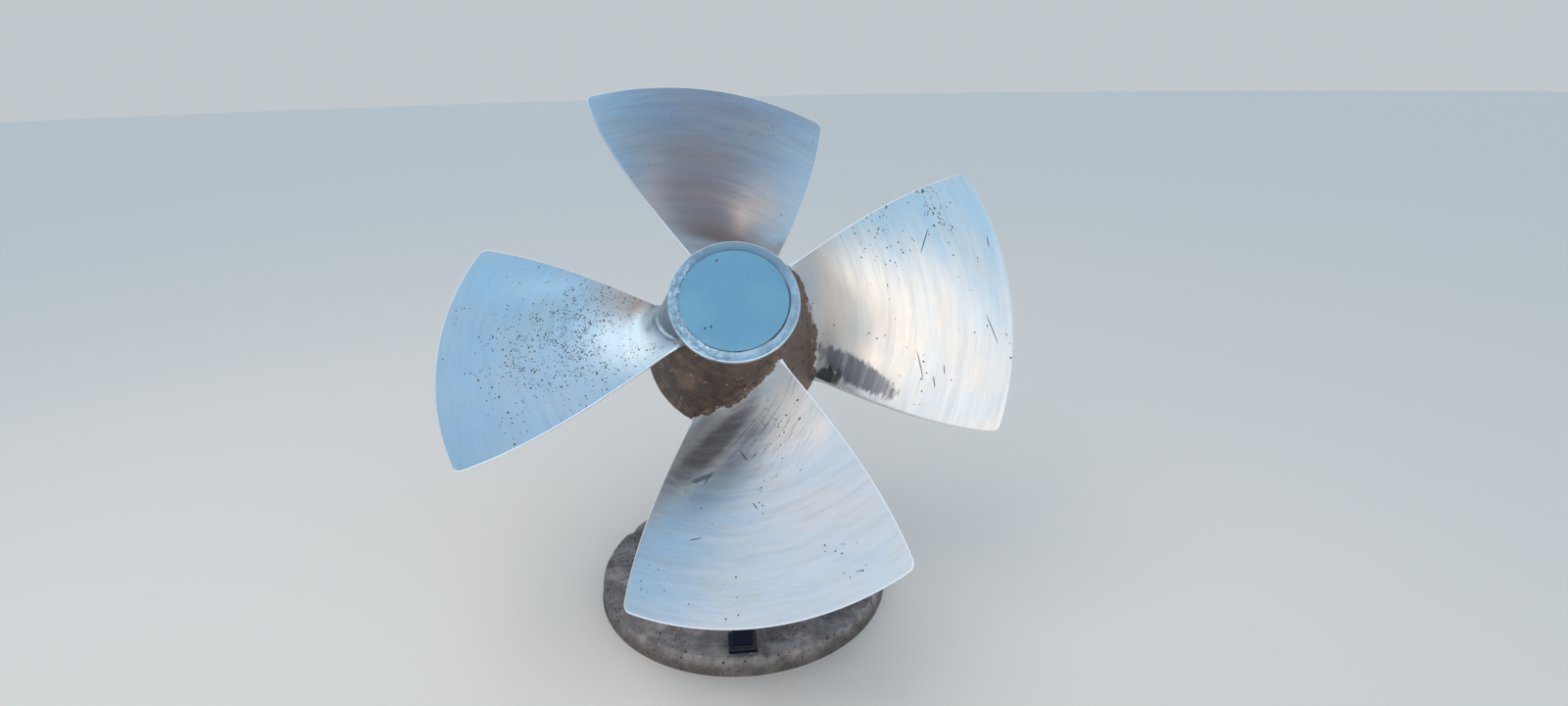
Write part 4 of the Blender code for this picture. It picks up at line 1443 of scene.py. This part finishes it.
def weld_mesh(name, runs):
    """Make rippled weld beads along runs of points."""
    curve = bpy.data.curves.new(name, "CURVE")
    curve.dimensions = "3D"
    curve.bevel_depth = WELD_RADIUS
    curve.bevel_resolution = WELD_RESOLUTION
    curve.use_fill_caps = True
    for run in runs:
        points = bead_points(run)
        spline = curve.splines.new("POLY")
        spline.points.add(len(points) - 1)
        for index, (point, place) in enumerate(zip(spline.points, points)):
            point.co = (*place, 1.0)
            point.radius = 0.86 + 0.14 * (index % 2) + 0.12 * noise.noise(place * 220.0)
    holder = linked(name, curve)
    graph = bpy.context.evaluated_depsgraph_get()
    mesh = bpy.data.meshes.new_from_object(holder.evaluated_get(graph))
    bpy.data.objects.remove(holder, do_unlink=True)
    bpy.data.curves.remove(curve)
    mesh.name = name
    return linked(name, mesh)


def square_run(low, high, height):
    """Give a closed square run of points at a height."""
    corners = [(low.x, low.y), (high.x, low.y), (high.x, high.y), (low.x, high.y), (low.x, low.y)]
    return [Vector((x, y, height)) for x, y in corners]


def gusset_runs(name):
    """Give the runs beside a base gusset, on the plate and up the post."""
    low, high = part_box(name)
    middle = box_middle("main_post")
    along = 1 if high.x - low.x < high.y - low.y else 0
    near, far = sorted((low[along], high[along]), key=lambda end: abs(end - middle[along]))
    runs = []
    for side in (low, high):
        run = [side.copy() for _ in range(3)]
        for point, end, height in zip(run, (far, near, near), (low.z, low.z, high.z)):
            point[along] = end
            point.z = height
        runs.append(run)
    return runs


def under_head_plate(x, y):
    """Give the point on the head plate's back at a place."""
    plate = HUB_CENTRE - SHAFT_AXIS * (HUB_REAR_LENGTH + CLEARANCE + HEAD_PLATE_THICKNESS)
    slope_x, slope_y = SHAFT_AXIS.x / SHAFT_AXIS.z, SHAFT_AXIS.y / SHAFT_AXIS.z
    return Vector((x, y, plate.z - (x - plate.x) * slope_x - (y - plate.y) * slope_y))


def head_runs():
    """Give the runs where the post and its gussets meet the head plate."""
    low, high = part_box("main_post")
    corners = square_run(low, high, 0.0)
    runs = [[under_head_plate(corner.x, corner.y) for corner in corners]]
    for name, face in (("head_gusset_front", low.y), ("head_gusset_rear", high.y)):
        near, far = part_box(name)
        nose = near.y if face == low.y else far.y
        for x in (near.x, far.x):
            foot = Vector((x, face, near.z))
            runs.append([foot, under_head_plate(x, face), under_head_plate(x, nose)])
    return runs


def saddle_run():
    """Give the closed run where the strut meets the saddle's underside."""
    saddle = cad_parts["strut_saddle"]
    low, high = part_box("front_strut")
    inwards = saddle.matrix_world.inverted()
    direction = inwards.to_3x3() @ UP
    run = []
    for place in bead_points(square_run(low, high, low.z)):
        hit, point, _, _ = saddle.ray_cast(inwards @ place, direction)
        if hit:
            run.append(saddle.matrix_world @ point)
    if len(run) < 4:
        raise RuntimeError("The strut doesn't meet its saddle.")
    return run


class PROPELLER_OT_welds(bpy.types.Operator):
    """Model the weld beads that join the stand's steel"""

    bl_idname = "propeller.welds"
    bl_label = "Welds"

    def execute(self, context):
        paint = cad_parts["main_post"].material_slots[0].material
        plate_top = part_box("base_plate")[1].z + CLEARANCE
        base_runs = [square_run(*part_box("main_post"), plate_top)]
        for side in ("front", "rear", "left", "right"):
            base_runs += gusset_runs(f"base_gusset_{side}")
        foot_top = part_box("strut_foot")[1].z + CLEARANCE
        strut_runs = [square_run(*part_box("front_strut"), foot_top), saddle_run()]
        beads = {"base_welds": base_runs, "strut_welds": strut_runs, "head_welds": head_runs()}
        for name, runs in beads.items():
            finish_piece(weld_mesh(name, runs), paint, 80.0)
        return {"FINISHED"}


# The footing

FOOTING_STEPS = 220
FOOTING_TOP_RINGS = 46
FOOTING_SIDE_RINGS = 10
FOOTING_EDGE = 0.008
FOOTING_LEAN = 0.005
# Distances over which the chips fade from the rim, and the rough skin towards a plate
RIM_FADE = 0.035
PLATE_FADE = 0.03
CHIP_DEPTH = 0.009
SKIN_RELIEF = 0.0022
# Heights above the ground between which soil stains the footing's side
SOIL_HEIGHT = (0.046, 0.010)
GRIT_RELIEF = 0.0035
STONE_RELIEF = 0.0016


def footing_outline(radius, height):
    """List the footing's outline from the middle of its underside to that of its top."""
    outline = [(0.0, 0.0), (radius * 0.5, 0.0), (radius, 0.0)]
    corner = (radius - FOOTING_LEAN - FOOTING_EDGE, height - FOOTING_EDGE)
    for ring in range(1, FOOTING_SIDE_RINGS):
        share = ring / FOOTING_SIDE_RINGS
        outline.append((radius - FOOTING_LEAN * share, corner[1] * share))
    outline += arc(corner, FOOTING_EDGE, 0.0, QUARTER_TURN, 5)
    for ring in range(1, FOOTING_TOP_RINGS):
        outline.append((corner[0] * (1.0 - ring / FOOTING_TOP_RINGS), height))
    outline.append((0.0, height))
    return outline


def under_plate(point, plates):
    """Give 1 under the plates that stand on the footing, fading to 0 beside them."""
    cover = 0.0
    for low, high in plates:
        away_x = max(low.x - point.x, point.x - high.x, 0.0)
        away_y = max(low.y - point.y, point.y - high.y, 0.0)
        cover = max(cover, 1.0 - min(1.0, math.hypot(away_x, away_y) / PLATE_FADE))
    return cover


def weather_footing(bm, radius, height):
    """Chip the footing's edge and roughen its skin, inwards only."""
    bm.normal_update()
    plates = [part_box(name) for name in ("base_plate", "strut_foot")]
    for vert in bm.verts:
        if vert.co.z < CLEARANCE:
            continue
        point = vert.co.copy()
        out = math.hypot(point.x, point.y) / radius
        inside = math.hypot((1.0 - out) * radius, height - point.z)
        rim = max(0.0, 1.0 - inside / RIM_FADE)
        chips = max(0.0, noise.noise(point * 19.0) + 0.35 * noise.noise(point * 55.0) - 0.02)
        skin = 0.5 + 0.5 * (0.7 * noise.noise(point * 34.0) + 0.3 * noise.noise(point * 110.0))
        skin *= 1.0 - under_plate(point, plates)
        vert.co -= vert.normal * (CHIP_DEPTH * rim * chips * 2.0 + SKIN_RELIEF * skin)


def concrete_material(scene):
    """Make weathered concrete with small stones, pores and soil stains."""
    grey = scene.finish_colours.concrete
    finish = Finish("weathered_concrete")
    place = finish.place()
    height = finish.split(place)[2]
    paler, darker = toned(grey, (2.1, 2.0, 2.0)), toned(grey, (0.34, 0.34, 0.36))
    colour = finish.mix(finish.span(finish.grain(place, 15.0, 7.0, 0.70), 0.40, 0.64), grey, paler)
    stain = finish.span(finish.grain(place, 6.0, 6.0, 0.66), 0.46, 0.62)
    colour = finish.coat(colour, stain, 0.58, darker)
    stones = pits(finish, place, 85.0, 0.36, 0.30)
    colour = finish.coat(colour, stones, 0.7, paler)
    clumps = finish.span(finish.grain(place, 12.0, 4.0, 0.6), 0.42, 0.60, 0.10, 0.75)
    pores = finish.most(pits(finish, place, 130.0, 0.30, clumps), pits(finish, place, 62.0, 0.25, clumps))
    colour = finish.coat(colour, pores, 0.88, (0.020, 0.019, 0.020))
    colour = finish.coat(colour, finish.span(height, *SOIL_HEIGHT), 0.65, (0.085, 0.068, 0.055))
    grit = finish.grain(place, 150.0, 7.0, 0.7)
    relief = finish.relief((grit, GRIT_RELIEF), (finish.less(stones, pores), STONE_RELIEF))
    finish.surface(Base_Color=colour, Roughness=0.92, Metallic=0.0, Normal=relief)
    return finish.material


class PROPELLER_OT_footing(bpy.types.Operator):
    """Model the round footing with its chipped edge"""

    bl_idname = "propeller.footing"
    bl_label = "Footing"

    def execute(self, context):
        size = box_size("concrete_footing")
        bm = turned(footing_outline(size.x / 2.0, size.z), FOOTING_STEPS)
        weather_footing(bm, size.x / 2.0, size.z)
        footing = mesh_object("rough_footing", bm)
        finish_piece(footing, concrete_material(context.scene), 60.0)
        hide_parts("concrete_footing")
        return {"FINISHED"}


# The stage

FLOOR_RADIUS = 40.0
FLOOR_SIDES = 96
KEY_PLACE = Vector((-1.6, -1.2, 4.6))
KEY_SIZE = 3.6
KEY_COLOUR = (1.0, 0.86, 0.72)
BACKGROUND = (0.53, 0.58, 0.61)
# Colours of the dome from straight down to straight up
DOME_GRADIENT = (
    (0.00, (0.45, 0.42, 0.40)),
    (0.50, (0.62, 0.58, 0.56)),
    (0.63, (0.56, 0.63, 0.72)),
    (0.75, (0.45, 0.66, 0.88)),
    (0.93, (0.38, 0.64, 0.90)),
    (1.00, (0.43, 0.73, 1.00)),
)
# Soft cards: azimuth, elevation, outer and inner angle in degrees, colour
DOME_CARDS = (
    (172.0, 30.0, 44.0, 8.0, (0.92, 1.06, 1.20)),
    (165.0, 2.0, 33.0, 8.0, (1.65, 1.50, 1.34)),
    (-12.0, 38.0, 25.0, 6.0, (1.05, 1.27, 1.38)),
    (91.0, 62.0, 21.0, 4.0, (0.26, 0.37, 0.52)),
    (76.0, 39.0, 33.0, 14.0, (0.26, 0.25, 0.29)),
    (-88.0, 28.0, 25.0, 10.0, (0.11, 0.13, 0.17)),
    (131.0, 25.0, 23.0, 6.0, (0.48, 0.80, 1.05)),
    (-140.0, 18.0, 34.0, 8.0, (0.88, 0.95, 1.05)),
    (22.0, 47.0, 23.0, 6.0, (0.50, 0.50, 0.52)),
    (101.0, 37.0, 11.0, 2.0, (0.70, 0.66, 0.68)),
    (-60.0, 55.0, 21.0, 4.0, (0.54, 0.76, 1.00)),
)


def heading(azimuth, elevation):
    """Give the direction of a compass angle from +Y towards +X and a height angle."""
    turn, rise = math.radians(azimuth), math.radians(elevation)
    level = math.cos(rise)
    return Vector((math.sin(turn) * level, math.cos(turn) * level, math.sin(rise)))


def dome_light(strength):
    """Make the soft dome: a pale gradient with brighter and darker cards."""
    world = bpy.data.worlds.new("soft_dome")
    world.use_nodes = True
    bpy.context.scene.world = world
    dome = Nodes(world.node_tree)
    direction = dome.node("TexCoord").outputs["Generated"]
    rise = dome.span(dome.split(direction)[2], -1.0, 1.0, smooth=False)
    ramp = dome.node("ValToRGB", Fac=rise)
    stops = ramp.color_ramp.elements
    while len(stops) < len(DOME_GRADIENT):
        stops.new(0.5)
    for stop, (position, colour) in zip(stops, DOME_GRADIENT):
        stop.position = position
        stop.color = (*colour, 1.0)
    colour = ramp.outputs["Color"]
    for azimuth, elevation, outer, inner, tint in DOME_CARDS:
        facing = dome.vector("DOT_PRODUCT", direction, heading(azimuth, elevation), "Value")
        share = dome.span(facing, math.cos(math.radians(outer)), math.cos(math.radians(inner)))
        colour = dome.mix(share, colour, tint)
    seen = dome.node("LightPath").outputs["Is Camera Ray"]
    background = world.node_tree.nodes["Background"]
    dome.put(background.inputs["Color"], dome.mix(seen, colour, BACKGROUND))
    dome.put(background.inputs["Strength"], strength)


def add_floor(colour):
    """Add the plain pale floor."""
    bm = bmesh.new()
    bmesh.ops.create_circle(bm, cap_ends=True, segments=FLOOR_SIDES, radius=FLOOR_RADIUS)
    floor = mesh_object("studio_floor", bm)
    finish = Finish("pale_floor")
    finish.surface(Base_Color=tuple(colour), Roughness=0.85)
    floor.data.materials.append(finish.material)


def add_key(power):
    """Add the large soft key light."""
    light = bpy.data.lights.new("key_light", "AREA")
    light.shape = "SQUARE"
    light.size = KEY_SIZE
    light.energy = power
    light.color = KEY_COLOUR
    holder = linked("key_light", light)
    holder.location = KEY_PLACE
    holder.visible_glossy = False
    holder.rotation_euler = (HUB_CENTRE - KEY_PLACE).to_track_quat("-Z", "Y").to_euler()


def add_camera():
    """Add the camera at the photograph's place."""
    lens = bpy.data.cameras.new("camera")
    lens.lens = CAMERA_LENS_MM
    lens.sensor_width = CAMERA_SENSOR_MM
    lens.sensor_fit = "HORIZONTAL"
    camera = linked("camera", lens)
    camera.location = CAMERA_PLACE
    camera.rotation_euler = [math.radians(angle) for angle in CAMERA_TURN]
    bpy.context.scene.camera = camera


class PROPELLER_OT_stage(bpy.types.Operator):
    """Make the pale floor, the soft light and the camera"""

    bl_idname = "propeller.stage"
    bl_label = "Stage"

    def execute(self, context):
        settings = context.scene.stage_settings
        context.scene.view_settings.view_transform = "Standard"
        dome_light(settings.dome_strength)
        add_floor(settings.floor)
        add_key(settings.key_power)
        add_camera()
        return {"FINISHED"}


class PROPELLER_PT_panel(bpy.types.Panel):
    """Settings and steps of the propeller's finish"""

    bl_label = "Ship Propeller"
    bl_idname = "PROPELLER_PT_panel"
    bl_space_type = "VIEW_3D"
    bl_region_type = "UI"
    bl_category = "Propeller"

    def draw(self, context):
        layout = self.layout
        for settings in GROUPS:
            group = getattr(context.scene, settings)
            box = layout.box()
            for name in group.__annotations__:
                box.prop(group, name)
        for operator in STEPS:
            layout.operator(operator.bl_idname)


GROUPS = {
    "propeller_sizes": PropellerSizes,
    "hub_sizes": HubSizes,
    "finish_colours": FinishColours,
    "stage_settings": StageSettings,
}
STEPS = (
    PROPELLER_OT_stage,
    PROPELLER_OT_casting,
    PROPELLER_OT_front,
    PROPELLER_OT_stand_finish,
    PROPELLER_OT_fasteners,
    PROPELLER_OT_welds,
    PROPELLER_OT_footing,
)


def register():
    """Register the settings, the steps and the panel."""
    for name, group in GROUPS.items():
        bpy.utils.register_class(group)
        setattr(bpy.types.Scene, name, PointerProperty(type=group))
    for step in (*STEPS, PROPELLER_PT_panel):
        bpy.utils.register_class(step)


def unregister():
    """Remove the panel, the steps and the settings."""
    for step in reversed((*STEPS, PROPELLER_PT_panel)):
        bpy.utils.unregister_class(step)
    for name, group in GROUPS.items():
        delattr(bpy.types.Scene, name)
        bpy.utils.unregister_class(group)


def main():
    register()
    for step in STEPS:
        group, action = step.bl_idname.split(".")
        getattr(getattr(bpy.ops, group), action)()


if __name__ == "__main__":
    main()
